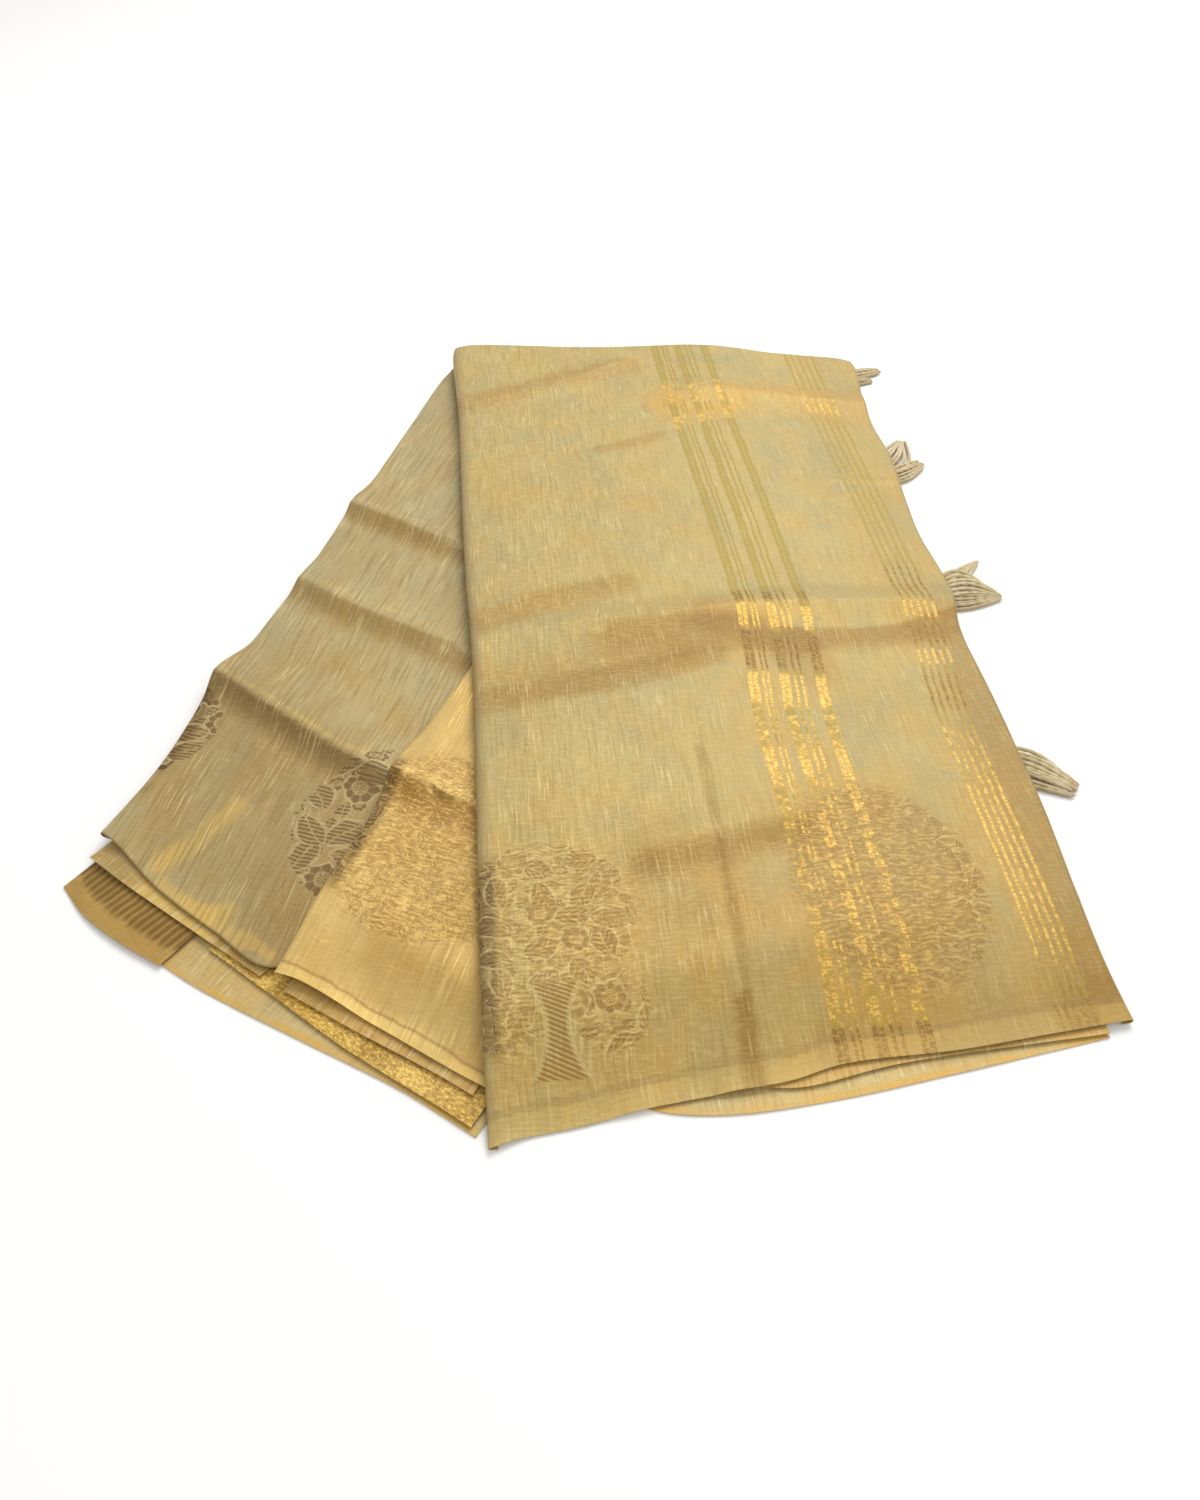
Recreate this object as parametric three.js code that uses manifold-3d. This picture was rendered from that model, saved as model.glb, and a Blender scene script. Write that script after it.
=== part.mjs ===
// A saree, folded flat and laid on a table: its end piece, the pallu, is folded on top, and the
// body is fanned out at the left. Millimetres, +Z up, and +Y away from the near hem. The origin
// is on the table, under the middle of the cloth.

import * as THREE from "three";
import { mergeVertices } from "three/addons/utils/BufferGeometryUtils.js";
import Module from "manifold-3d";

const wasm = await Module();
wasm.setup();

// Middle of the laid-out cloth, in the coordinates of the tables below
const middle = { x: 2.9, y: -0.75 };

// Cloth and layers
const wall = 1.2; // thickness of each stretch of cloth, with its finest puckers
const gap = 0.3; // between two stretches that lie on each other
const layerHeight = (layer) => layer * (wall + gap) + wall / 2; // middle of a flat layer

// Heights of the middle of the cloth over the table
const terraceHeight = 7; // top of the hidden layers under the fan
const bodyHeight = 8; // body of the saree over that terrace
const bodyHemHeight = 5.4; // body at its near edge
const innerLift = 1.9; // inner panel over the body
const innerHemDrop = 2.2; // less of that where no body lies under the panel's near edge
const palluHeight = 18.5; // pallu over the thick part of the pile
const palluRightHeight = 9.5; // pallu at its right edge, where the pile is thin
const pileThins = { from: 60, to: 190 }; // x where the pile goes from thick to thin
const stackClearance = 1.6; // from the pallu's middle down to the hidden layers
const fanHemSlope = 36; // run over which the fan rises from its near edge
const bodySideRun = 26; // run over which the fan's side stays at its full height
const innerFoldRun = 20; // run over which the inner panel comes down from its fold
const coverStarts = 14; // how far before the inner panel's fold the body starts to lie flat
const bodyTuck = { from: -107, to: -83 }; // x where the body ends under the inner panel's near edge
const palluHemSlope = { left: 50, right: 62 }; // the same for the pallu

// Rolls of cloth where an edge is a fold: the radius at the middle of the cloth
const palluRoll = { near: 0.9, left: 2.6, right: 1.8, settles: 120 };
const bodyRoll = 1.3;
const innerRoll = 0.9;
const rollTurns = [60, 120, 180]; // degrees turned at each step round a roll
const rollLap = 2.5; // flat cloth behind the roll

// Edges of the stretches that show. Sides run from the near end to the far end, and near and
// far edges run from left to right. Where a side is a fold, the line is the crest of its roll.
const palluEdges = {
  nearLeft: { x: -34, y: -286 },
  nearRight: { x: 211, y: -234 },
  farLeft: { x: -91, y: 277 },
  farRight: { x: 174, y: 275 },
  near: [
    { x: -24, y: -282 },
    { x: -2, y: -277 },
    { x: 20, y: -271 },
    { x: 49, y: -265 },
    { x: 76, y: -260 },
    { x: 97, y: -253 },
    { x: 142, y: -247 },
    { x: 174, y: -241 },
  ],
  far: [
    { x: -84, y: 280 },
    { x: 5, y: 278 },
    { x: 73, y: 282 },
    { x: 128, y: 278 },
    { x: 166, y: 278 },
  ],
  left: [
    { x: -36, y: -264 },
    { x: -41, y: -201 },
    { x: -49, y: -104 },
    { x: -57, y: -24 },
    { x: -64, y: 29 },
    { x: -72, y: 104 },
    { x: -81, y: 192 },
    { x: -91, y: 268 },
  ],
  right: [
    { x: 204, y: -190 },
    { x: 201, y: -124 },
    { x: 196, y: -65 },
    { x: 190, y: -5 },
    { x: 191, y: 33 },
    { x: 184, y: 78 },
    { x: 181, y: 160 },
    { x: 176, y: 195 },
    { x: 175, y: 232 },
    { x: 176, y: 266 },
  ],
};
const bodyEdges = {
  nearLeft: { x: -213, y: -143 },
  nearRight: { x: -104, y: -203 },
  farLeft: { x: -94, y: 268 },
  farRight: { x: -72, y: 262 },
  near: [
    { x: -205, y: -149 },
    { x: -183, y: -171 },
    { x: -153, y: -194 },
    { x: -128, y: -211 },
  ],
  far: [{ x: -83, y: 266 }],
  left: [
    { x: -199, y: -108 },
    { x: -190, y: -70 },
    { x: -185, y: -40 },
    { x: -174, y: -18 },
    { x: -163, y: 16 },
    { x: -153, y: 49 },
    { x: -142, y: 94 },
    { x: -136, y: 119 },
    { x: -129, y: 138 },
    { x: -118, y: 181 },
    { x: -100, y: 251 },
  ],
  right: [
    { x: -78, y: -138 },
    { x: -58, y: -89 },
    { x: -38, y: -35 },
    { x: -42, y: 30 },
    { x: -50, y: 100 },
    { x: -62, y: 190 },
  ],
};
const innerEdges = {
  nearLeft: { x: -123, y: -216 },
  nearRight: { x: -35, y: -265 },
  farLeft: { x: -50, y: -18 },
  farRight: { x: -36, y: -20 },
  near: [
    { x: -113, y: -219 },
    { x: -84, y: -236 },
    { x: -51, y: -256 },
  ],
  far: [],
  left: [
    { x: -117, y: -198 },
    { x: -107, y: -167 },
    { x: -96, y: -138 },
    { x: -89, y: -111 },
    { x: -74, y: -75 },
    { x: -60, y: -42 },
  ],
  right: [
    { x: -22, y: -238 },
    { x: -19, y: -190 },
    { x: -26, y: -120 },
    { x: -33, y: -60 },
  ],
};

// Narrow stretches at the near edge, each tucked under the one above: the edge that shows, how
// far the cloth goes in under the next, and the layer that it lies in at each end.
const strips = [
  {
    name: "hem_strip",
    color: 0xbfae83,
    tuck: { x: 13, y: 22 },
    layer: { left: 0, right: 0 },
    columns: 12,
    edge: [
      { x: -184, y: -199 },
      { x: -155, y: -218 },
      { x: -111, y: -241 },
      { x: -70, y: -262 },
      { x: -40, y: -281 },
    ],
  },
  {
    name: "ribbed_border",
    color: 0x9c8447,
    tuck: { x: 17, y: 24 },
    layer: { left: 0, right: 1 },
    columns: 8,
    edge: [
      { x: -225, y: -167 },
      { x: -211, y: -183 },
      { x: -192, y: -197 },
      { x: -173, y: -208 },
    ],
  },
  {
    name: "zari_band",
    color: 0x8d6c2c,
    tuck: { x: 12, y: 20 },
    layer: { left: 1, right: 1 },
    columns: 12,
    edge: [
      { x: -155, y: -200 },
      { x: -129, y: -219 },
      { x: -92, y: -246 },
      { x: -54, y: -270 },
      { x: -42, y: -278 },
    ],
  },
  {
    name: "body_under",
    color: 0xb29b63,
    tuck: { x: 14, y: 18 },
    layer: { left: 2, right: 2 },
    columns: 10,
    edge: [
      { x: -217, y: -153 },
      { x: -200, y: -166 },
      { x: -163, y: -192 },
      { x: -131, y: -214 },
    ],
  },
  {
    name: "inner_under",
    color: 0xb08c3e,
    tuck: { x: 6, y: 12 },
    layer: { left: 2, right: 2 },
    columns: 8,
    edge: [
      { x: -120, y: -221 },
      { x: -91, y: -238 },
      { x: -55, y: -258 },
      { x: -42, y: -266 },
    ],
  },
  {
    name: "pallu_lower",
    color: 0xb9a878,
    tuck: { x: -6, y: 30 },
    layer: { left: 0, right: 0 },
    columns: 14,
    edge: [
      { x: 18, y: -269 },
      { x: 34, y: -272 },
      { x: 56, y: -272 },
      { x: 94, y: -266 },
      { x: 141, y: -255 },
      { x: 202, y: -240 },
    ],
  },
  {
    name: "pallu_mid",
    color: 0xc39a45,
    tuck: { x: -6, y: 24 },
    layer: { left: 1, right: 1 },
    columns: 12,
    edge: [
      { x: 58, y: -261 },
      { x: 79, y: -262 },
      { x: 119, y: -252 },
      { x: 202, y: -239 },
    ],
  },
];

// Height of the pallu at its near edge, over what it lies on there
const palluHem = [
  { x: -34, layer: 1.47 },
  { x: -20, layer: 0.2 },
  { x: 6, layer: 0.2 },
  { x: 17, layer: 1 },
  { x: 46, layer: 1 },
  { x: 56, layer: 2 },
  { x: 214, layer: 2 },
];

// Creases: raised folds in the cloth, with how far each side of one reaches from its crest
const fanCreases = [
  {
    rise: 4.4,
    nearWidth: 15,
    farWidth: 32,
    crest: [
      { x: -192, y: -35 },
      { x: -154, y: -65 },
      { x: -116, y: -95 },
      { x: -76, y: -117 },
    ],
  },
  {
    rise: 2.8,
    nearWidth: 14,
    farWidth: 26,
    crest: [
      { x: -160, y: 37 },
      { x: -121, y: 10 },
      { x: -82, y: -12 },
    ],
  },
  {
    rise: 2.8,
    nearWidth: 15,
    farWidth: 24,
    crest: [
      { x: -146, y: 111 },
      { x: -110, y: 89 },
      { x: -88, y: 76 },
    ],
  },
];
const palluCreases = [
  {
    rise: 3.2,
    nearWidth: 22,
    farWidth: 18,
    crest: [
      { x: -64, y: -31 },
      { x: -15, y: -17 },
      { x: 51, y: -5 },
      { x: 109, y: 6 },
      { x: 198, y: 18 },
    ],
  },
  {
    rise: 2,
    nearWidth: 18,
    farWidth: 20,
    crest: [
      { x: -86, y: 206 },
      { x: -59, y: 211 },
      { x: -21, y: 228 },
      { x: 18, y: 256 },
    ],
  },
  {
    rise: 1.8,
    nearWidth: 20,
    farWidth: 16,
    crest: [
      { x: -57, y: -75 },
      { x: -23, y: -74 },
      { x: 22, y: -68 },
    ],
  },
  {
    rise: 1.6,
    nearWidth: 18,
    farWidth: 18,
    crest: [
      { x: 66, y: 225 },
      { x: 96, y: 222 },
      { x: 176, y: 219 },
    ],
  },
  {
    rise: 1.5,
    nearWidth: 18,
    farWidth: 20,
    crest: [
      { x: 30, y: -161 },
      { x: 66, y: -145 },
      { x: 90, y: -141 },
    ],
  },
];

// The hidden layers, as one rounded pile whose side is layered like folded cloth. The foot
// follows the whole garment and the head follows the pallu. Each row gives the insets of the
// side from the garment's four edges, up to a share of the height of the foot or the head.
const footLayers = 4;
const footInsets = [
  { upTo: 0.5, left: 5, far: 5, right: 15, near: 46 },
  { upTo: 1, left: 13, far: 9, right: 15, near: 46 },
];
const headLayers = 4;
const headInsets = [
  { upTo: 0.6, left: 42, far: 10, right: 15, near: 70 },
  { upTo: 1, left: 10, far: 10, right: 15, near: 72 },
];
const layerPucker = 1.5; // how far the groove between two layers goes in
const layerProfile = [
  { level: 0, pucker: layerPucker },
  { level: 0.3, pucker: 0 },
  { level: 0.75, pucker: 0 },
];
const pileCorner = 0.03; // rounding of the pile's corners, as a share of a side
const pileSidePoints = 12;

// Tassels, knotted into the edge of the pallu's hidden layers and splayed out at the right. Each
// knot lies against the side of the pile. The columns are the place of the knot, the way that the
// middle strand points, the angle between the outer strands, and how far they reach.
const tassels = [
  { x: 163.8, y: 262, aim: 2, fan: 46, reach: 29 },
  { x: 169.2, y: 148, aim: 30, fan: 54, reach: 36 },
  { x: 176.8, y: 32, aim: 16, fan: 44, reach: 43 },
  { x: 185.4, y: -90, aim: -27, fan: 14, reach: 45 },
];
const tasselTiers = [
  { z: 1.15, strands: 5 },
  { z: 2.95, strands: 4 },
];
const strandRadius = 0.85;
const strandPitch = 1.9; // between two strands at the knot
const knot = { along: 2.9, across: 5, height: 1.9 }; // half sizes

const smooth = (value) => THREE.MathUtils.smoothstep(value, 0, 1);
const mix = THREE.MathUtils.lerp;

function splineThrough(points) {
  const at = points.map((point) => new THREE.Vector3(point.x, point.y, 0));
  return new THREE.CatmullRomCurve3(at, false, "centripetal");
}

// A surface filled in between four edges: (s, t) runs from left to right and from near to far.
function patchBetween(edges) {
  const near = splineThrough([edges.nearLeft, ...edges.near, edges.nearRight]);
  const far = splineThrough([edges.farLeft, ...edges.far, edges.farRight]);
  const left = splineThrough([edges.nearLeft, ...edges.left, edges.farLeft]);
  const right = splineThrough([edges.nearRight, ...edges.right, edges.farRight]);
  const place = (s, t) => {
    const point = new THREE.Vector3();
    point.addScaledVector(near.getPointAt(s), 1 - t);
    point.addScaledVector(far.getPointAt(s), t);
    point.addScaledVector(left.getPointAt(t), 1 - s);
    point.addScaledVector(right.getPointAt(t), s);
    point.addScaledVector(near.getPointAt(0), -(1 - s) * (1 - t));
    point.addScaledVector(near.getPointAt(1), -s * (1 - t));
    point.addScaledVector(far.getPointAt(0), -(1 - s) * t);
    point.addScaledVector(far.getPointAt(1), -s * t);
    return point;
  };
  return {
    place,
    length: (s) => mix(left.getLength(), right.getLength(), s),
    width: (t) => left.getPointAt(t).distanceTo(right.getPointAt(t)),
  };
}

// The nearest point of a line to (x, y): its distance, and whether (x, y) is on the far side.
function nearestOn(line, x, y) {
  let best = { distance: Infinity, far: true };
  for (let i = 1; i < line.length; i += 1) {
    const from = line[i - 1];
    const runX = line[i].x - from.x;
    const runY = line[i].y - from.y;
    const share = ((x - from.x) * runX + (y - from.y) * runY) / (runX ** 2 + runY ** 2);
    const along = THREE.MathUtils.clamp(share, 0, 1);
    const offX = x - from.x - along * runX;
    const offY = y - from.y - along * runY;
    const distance = Math.hypot(offX, offY);
    if (distance < best.distance) best = { distance, far: runX * offY - runY * offX > 0 };
  }
  return best;
}

function creaseRise(creases, x, y) {
  let rise = 0;
  for (const crease of creases) {
    const { distance, far } = nearestOn(crease.crest, x, y);
    const reach = distance / (far ? crease.farWidth : crease.nearWidth);
    if (reach < 1) rise += crease.rise * 0.5 * (1 + Math.cos(Math.PI * reach));
  }
  return rise;
}

function alongTable(table, x, column) {
  const next = table.findIndex((row) => row.x >= x);
  if (next < 0) return table[table.length - 1][column];
  if (next === 0) return table[0][column];
  const [from, to] = [table[next - 1], table[next]];
  return mix(from[column], to[column], (x - from.x) / (to.x - from.x));
}

// Heights of the stretches of cloth
const fanHem = [bodyEdges.nearLeft, ...bodyEdges.near, ...innerEdges.near, innerEdges.nearRight];
const fanSide = [bodyEdges.nearLeft, ...bodyEdges.left, bodyEdges.farLeft];
const innerFold = [innerEdges.nearLeft, ...innerEdges.left, innerEdges.farLeft];

function fanSlope(x, y) {
  const fromHem = nearestOn(fanHem, x, y).distance;
  const fromSide = nearestOn(fanSide, x, y).distance;
  const slope = mix(bodyHemHeight, bodyHeight, smooth(fromHem / fanHemSlope));
  return mix(bodyHeight, slope, smooth(fromSide / bodySideRun));
}

// The body lies flat where the inner panel covers it, from just before the panel's fold.
function bodyTop(x, y) {
  const fold = nearestOn(innerFold, x, y);
  const inside = fold.far ? -fold.distance : fold.distance;
  const covered = smooth((inside + coverStarts) / innerFoldRun);
  return fanSlope(x, y) + creaseRise(fanCreases, x, y) * (1 - covered);
}

function innerTop(x, y) {
  const overFold = 1 - smooth(nearestOn(innerFold, x, y).distance / innerFoldRun);
  const overHem = 1 - smooth(nearestOn(fanHem, x, y).distance / fanHemSlope);
  const pastBody = smooth((x - bodyTuck.from) / (bodyTuck.to - bodyTuck.from));
  const lift = innerLift - innerHemDrop * overHem * pastBody * (1 - overFold);
  return fanSlope(x, y) + creaseRise(fanCreases, x, y) + lift + 2 * innerRoll * overFold;
}

const pileTop = (x) => {
  const thin = smooth((x - pileThins.from) / (pileThins.to - pileThins.from));
  return mix(palluHeight, palluRightHeight, thin);
};

function palluTop(x, y, s, fromHem) {
  const slope = mix(palluHemSlope.left, palluHemSlope.right, s);
  const hem = layerHeight(alongTable(palluHem, x, "layer"));
  return mix(hem, pileTop(x), smooth(fromHem / slope)) + creaseRise(palluCreases, x, y);
}

// Cloth is laid out as a grid, with a roll added along each edge that is a fold.
function layCloth({ edges, columns, rows, height, folds = [], roll }) {
  const patch = patchBetween(edges);
  const points = [];
  const triangles = [];
  const quad = (a, b, c, d) => triangles.push([a, b, c], [a, c, d]);
  const index = (i, j) => j * (columns + 1) + i;
  for (let j = 0; j <= rows; j += 1) {
    for (let i = 0; i <= columns; i += 1) {
      const point = patch.place(i / columns, j / rows);
      const fromHem = (j / rows) * patch.length(i / columns);
      point.z = height(point.x, point.y, i / columns, fromHem);
      points.push(point);
    }
  }
  for (let j = 0; j < rows; j += 1) {
    for (let i = 0; i < columns; i += 1) {
      quad(index(i, j), index(i + 1, j), index(i + 1, j + 1), index(i, j + 1));
    }
  }
  const path = [];
  if (folds.includes("left")) {
    for (let j = 0; j <= rows; j += 1) path.push(index(0, j));
  }
  if (folds.includes("far")) {
    for (let i = 1; i <= columns; i += 1) path.push(index(i, rows));
  }
  if (folds.includes("right")) {
    for (let j = rows - 1; j >= 0; j -= 1) path.push(index(columns, j));
  }
  if (path.length) rollUnder(points, quad, path, roll);
  return thicken(points, triangles);
}

// The roll turns down and under along a path of points that has its outer side on the left.
function rollUnder(points, quad, path, roll) {
  let inner = path;
  const last = path.length - 1;
  const crest = path.map((at) => points[at].clone());
  const outward = crest.map((point, k) => {
    const before = crest[Math.max(k - 1, 0)];
    const after = crest[Math.min(k + 1, last)];
    return new THREE.Vector3(before.y - after.y, after.x - before.x, 0).normalize();
  });
  const steps = rollTurns.map((turn) => ({ turn: THREE.MathUtils.degToRad(turn), lap: 0 }));
  steps.push({ turn: Math.PI, lap: rollLap });
  for (const { turn, lap } of steps) {
    const ring = crest.map((point, k) => {
      const radius = roll(point);
      const across = radius * Math.sin(turn) - lap;
      const made = point.clone().addScaledVector(outward[k], across);
      made.z -= radius * (1 - Math.cos(turn));
      points.push(made);
      return points.length - 1;
    });
    for (let k = 0; k < last; k += 1) quad(inner[k], inner[k + 1], ring[k + 1], ring[k]);
    inner = ring;
  }
}

// A wall of even thickness about a surface, closed round its open edge.
function thicken(points, triangles) {
  const normals = points.map(() => new THREE.Vector3());
  for (const [a, b, c] of triangles) {
    const side = points[b].clone().sub(points[a]);
    const face = side.cross(points[c].clone().sub(points[a]));
    for (const corner of [a, b, c]) normals[corner].add(face);
  }
  const offset = (side) =>
    points.flatMap((point, k) => {
      const normal = normals[k].clone().normalize();
      return point.clone().addScaledVector(normal, (side * wall) / 2).toArray();
    });
  const count = points.length;
  const faces = [];
  const openEdges = new Map();
  for (const [a, b, c] of triangles) {
    faces.push(a, b, c, a + count, c + count, b + count);
    for (const [from, to] of [[a, b], [b, c], [c, a]]) {
      if (!openEdges.delete(`${to} ${from}`)) openEdges.set(`${from} ${to}`, [from, to]);
    }
  }
  for (const [from, to] of openEdges.values()) {
    faces.push(to, from, from + count, to, from + count, to + count);
  }
  return meshGeometry([...offset(1), ...offset(-1)], faces);
}

function meshGeometry(coordinates, faces) {
  const geometry = new THREE.BufferGeometry();
  geometry.setAttribute("position", new THREE.Float32BufferAttribute(coordinates, 3));
  geometry.setIndex(faces);
  geometry.computeVertexNormals();
  return geometry;
}

function stripOfCloth({ edge, tuck, layer, columns }) {
  const inside = edge.map((point) => ({ x: point.x + tuck.x, y: point.y + tuck.y }));
  const last = edge.length - 1;
  const edges = {
    nearLeft: edge[0],
    nearRight: edge[last],
    farLeft: inside[0],
    farRight: inside[last],
    near: edge.slice(1, last),
    far: inside.slice(1, last),
    left: [],
    right: [],
  };
  const height = (x, y, s) => layerHeight(mix(layer.left, layer.right, smooth(s / 0.6)));
  return layCloth({ edges, columns, rows: 2, height });
}

// One closed line round a patch, inset from its four edges and rounded at its corners.
function ringOn(patch, inset, height, shrink = 1) {
  const unit = [];
  const corners = [[0, 0], [1, 0], [1, 1], [0, 1]];
  corners.forEach(([u, v], corner) => {
    const [toU, toV] = corners[(corner + 1) % 4];
    for (let k = 0; k < pileSidePoints; k += 1) {
      const along = mix(pileCorner, 1 - pileCorner, k / (pileSidePoints - 1));
      unit.push({ u: mix(u, toU, along), v: mix(v, toV, along) });
    }
    const [nextU, nextV] = corners[(corner + 2) % 4];
    const cut = pileCorner * 0.3;
    unit.push({ u: toU + cut * (nextU + u - 2 * toU), v: toV + cut * (nextV + v - 2 * toV) });
  });
  return unit.map(({ u, v }) => {
    const across = 0.5 + (u - 0.5) * shrink;
    const along = 0.5 + (v - 0.5) * shrink;
    const t = mix(inset.near / patch.length(across), 1 - inset.far / patch.length(across), along);
    const width = patch.width(t);
    const s = mix(inset.left / width, 1 - inset.right / width, across);
    const point = patch.place(s, t);
    point.z = height(point.x);
    return point;
  });
}

function grownInset(inset, amount) {
  const grown = {};
  for (const side of ["left", "far", "right", "near"]) grown[side] = inset[side] + amount;
  return grown;
}

// Rings up the side of a pile of layers, with a groove between each two layers.
function layeredRings(patch, layers, insets, heightAt) {
  const rings = [];
  for (let layer = 0; layer < layers; layer += 1) {
    const inset = insets.find((row) => layer / layers < row.upTo);
    const stagger = layer % 2 ? 1 : 0;
    for (const { level, pucker } of layerProfile) {
      const at = grownInset(inset, pucker + stagger);
      rings.push(ringOn(patch, at, (x) => heightAt(x, (layer + level) / layers)));
    }
  }
  const last = grownInset(insets[insets.length - 1], layerPucker);
  rings.push(ringOn(patch, last, (x) => heightAt(x, 1)));
  return rings;
}

function hiddenPile() {
  const hem = [...fanHem.slice(1), palluEdges.nearLeft, ...palluEdges.near];
  const wholeEdges = { ...palluEdges, nearLeft: bodyEdges.nearLeft, near: hem, left: bodyEdges.left };
  const whole = patchBetween(wholeEdges);
  const pallu = patchBetween(palluEdges);
  const footHeight = (x, share) => terraceHeight * share;
  const headTop = (x) => pileTop(x) - stackClearance;
  const headHeight = (x, share) => mix(terraceHeight, headTop(x), share);
  const rings = layeredRings(whole, footLayers, footInsets, footHeight);
  rings.push(...layeredRings(pallu, headLayers, headInsets, headHeight));
  const topInset = grownInset(headInsets[1], layerPucker);
  for (const shrink of [0.9, 0.7, 0.5, 0.3, 0.1]) {
    rings.push(ringOn(pallu, topInset, headTop, shrink));
  }
  for (const point of rings[0]) point.z = 0;
  const around = rings[0].length;
  const coordinates = rings.flat().flatMap((point) => point.toArray());
  const faces = [];
  for (let ring = 0; ring + 1 < rings.length; ring += 1) {
    for (let k = 0; k < around; k += 1) {
      const a = ring * around + k;
      const b = ring * around + ((k + 1) % around);
      faces.push(a, b, b + around, a, b + around, a + around);
    }
  }
  const capRing = (ring, at, up) => {
    const hub = coordinates.length / 3;
    coordinates.push(at.x, at.y, at.z);
    for (let k = 0; k < around; k += 1) {
      const a = ring * around + k;
      const b = ring * around + ((k + 1) % around);
      faces.push(...(up ? [a, b, hub] : [b, a, hub]));
    }
  };
  const centre = pallu.place(0.5, 0.5);
  capRing(0, { x: centre.x, y: centre.y, z: 0 }, false);
  capRing(rings.length - 1, { x: centre.x, y: centre.y, z: headTop(centre.x) }, true);
  return meshGeometry(coordinates, faces);
}

function solidOf(geometry) {
  geometry.deleteAttribute("normal");
  geometry.deleteAttribute("uv");
  const merged = mergeVertices(geometry, 1e-4);
  return new wasm.Manifold(
    new wasm.Mesh({
      numProp: 3,
      vertProperties: new Float32Array(merged.attributes.position.array),
      triVerts: new Uint32Array(merged.index.array),
    }),
  );
}

function strandSection() {
  const section = new THREE.Shape();
  for (const turn of [90, 210, 330]) {
    const angle = THREE.MathUtils.degToRad(turn);
    const corner = [strandRadius * Math.cos(angle), strandRadius * Math.sin(angle)];
    if (turn === 90) section.moveTo(...corner);
    else section.lineTo(...corner);
  }
  section.closePath();
  return section;
}

// One tassel: its strands leave the knot side by side and splay out on the table.
function tasselOf({ x, y, aim, fan, reach }) {
  const knotShape = new THREE.SphereGeometry(1, 8, 5);
  knotShape.scale(knot.along, knot.across, knot.height);
  knotShape.rotateZ(THREE.MathUtils.degToRad(aim));
  knotShape.translate(x, y, knot.height + gap);
  let tassel = solidOf(knotShape);
  for (const tier of tasselTiers) {
    for (let k = 0; k < tier.strands; k += 1) {
      const side = k - (tier.strands - 1) / 2;
      const start = THREE.MathUtils.degToRad(aim);
      const turn = THREE.MathUtils.degToRad(aim + (fan * side) / (tier.strands - 1));
      const across = side * strandPitch;
      const length = reach * (1 - 0.06 * ((k * 2) % 3));
      const rootX = x - across * Math.sin(start);
      const rootY = y + across * Math.cos(start);
      const along = (share, angle, z) =>
        new THREE.Vector3(
          rootX + length * share * Math.cos(angle),
          rootY + length * share * Math.sin(angle),
          z,
        );
      const path = new THREE.CatmullRomCurve3([
        along(0, start, tier.z),
        along(0.35, mix(start, turn, 0.6), tier.z),
        along(0.7, turn, tier.z * 0.9 + 0.1),
        along(1, turn + 0.1 * side, tier.z * 0.75 + 0.28),
      ]);
      const options = { steps: 4, extrudePath: path, bevelEnabled: false };
      tassel = tassel.add(solidOf(new THREE.ExtrudeGeometry(strandSection(), options)));
    }
  }
  const made = tassel.getMesh();
  return meshGeometry(Array.from(made.vertProperties), Array.from(made.triVerts));
}

const saree = new THREE.Group();
saree.position.set(-middle.x, -middle.y, 0);

function addNode(name, geometry, color, roughness, metalness) {
  const material = new THREE.MeshStandardMaterial({ color, roughness, metalness });
  const mesh = new THREE.Mesh(geometry, material);
  mesh.name = name;
  saree.add(mesh);
}

addNode("folded_stack", hiddenPile(), 0xb9a470, 0.7, 0);
for (const strip of strips) addNode(strip.name, stripOfCloth(strip), strip.color, 0.5, 0.2);
addNode(
  "body_top",
  layCloth({
    edges: bodyEdges,
    columns: 8,
    rows: 30,
    height: bodyTop,
    folds: ["left"],
    roll: () => bodyRoll,
  }),
  0xb8a373,
  0.6,
  0.1,
);
addNode(
  "inner_panel",
  layCloth({
    edges: innerEdges,
    columns: 7,
    rows: 18,
    height: innerTop,
    folds: ["left"],
    roll: () => innerRoll,
  }),
  0xcaa452,
  0.5,
  0.3,
);
addNode(
  "pallu_top",
  layCloth({
    edges: palluEdges,
    columns: 17,
    rows: 42,
    height: palluTop,
    folds: ["left", "far", "right"],
    roll: ({ x, y }) => {
      const settled = smooth((y - palluEdges.nearLeft.y) / palluRoll.settles);
      const thin = smooth((x - pileThins.from) / (pileThins.to - pileThins.from));
      return mix(palluRoll.near, mix(palluRoll.left, palluRoll.right, thin), settled);
    },
  }),
  0xcbb67f,
  0.55,
  0.15,
);
tassels.forEach((tassel, k) => {
  addNode(`tassel_${k + 1}`, tasselOf(tassel), 0xd2c6a2, 0.9, 0);
});

export default saree;
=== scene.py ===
import math

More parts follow.
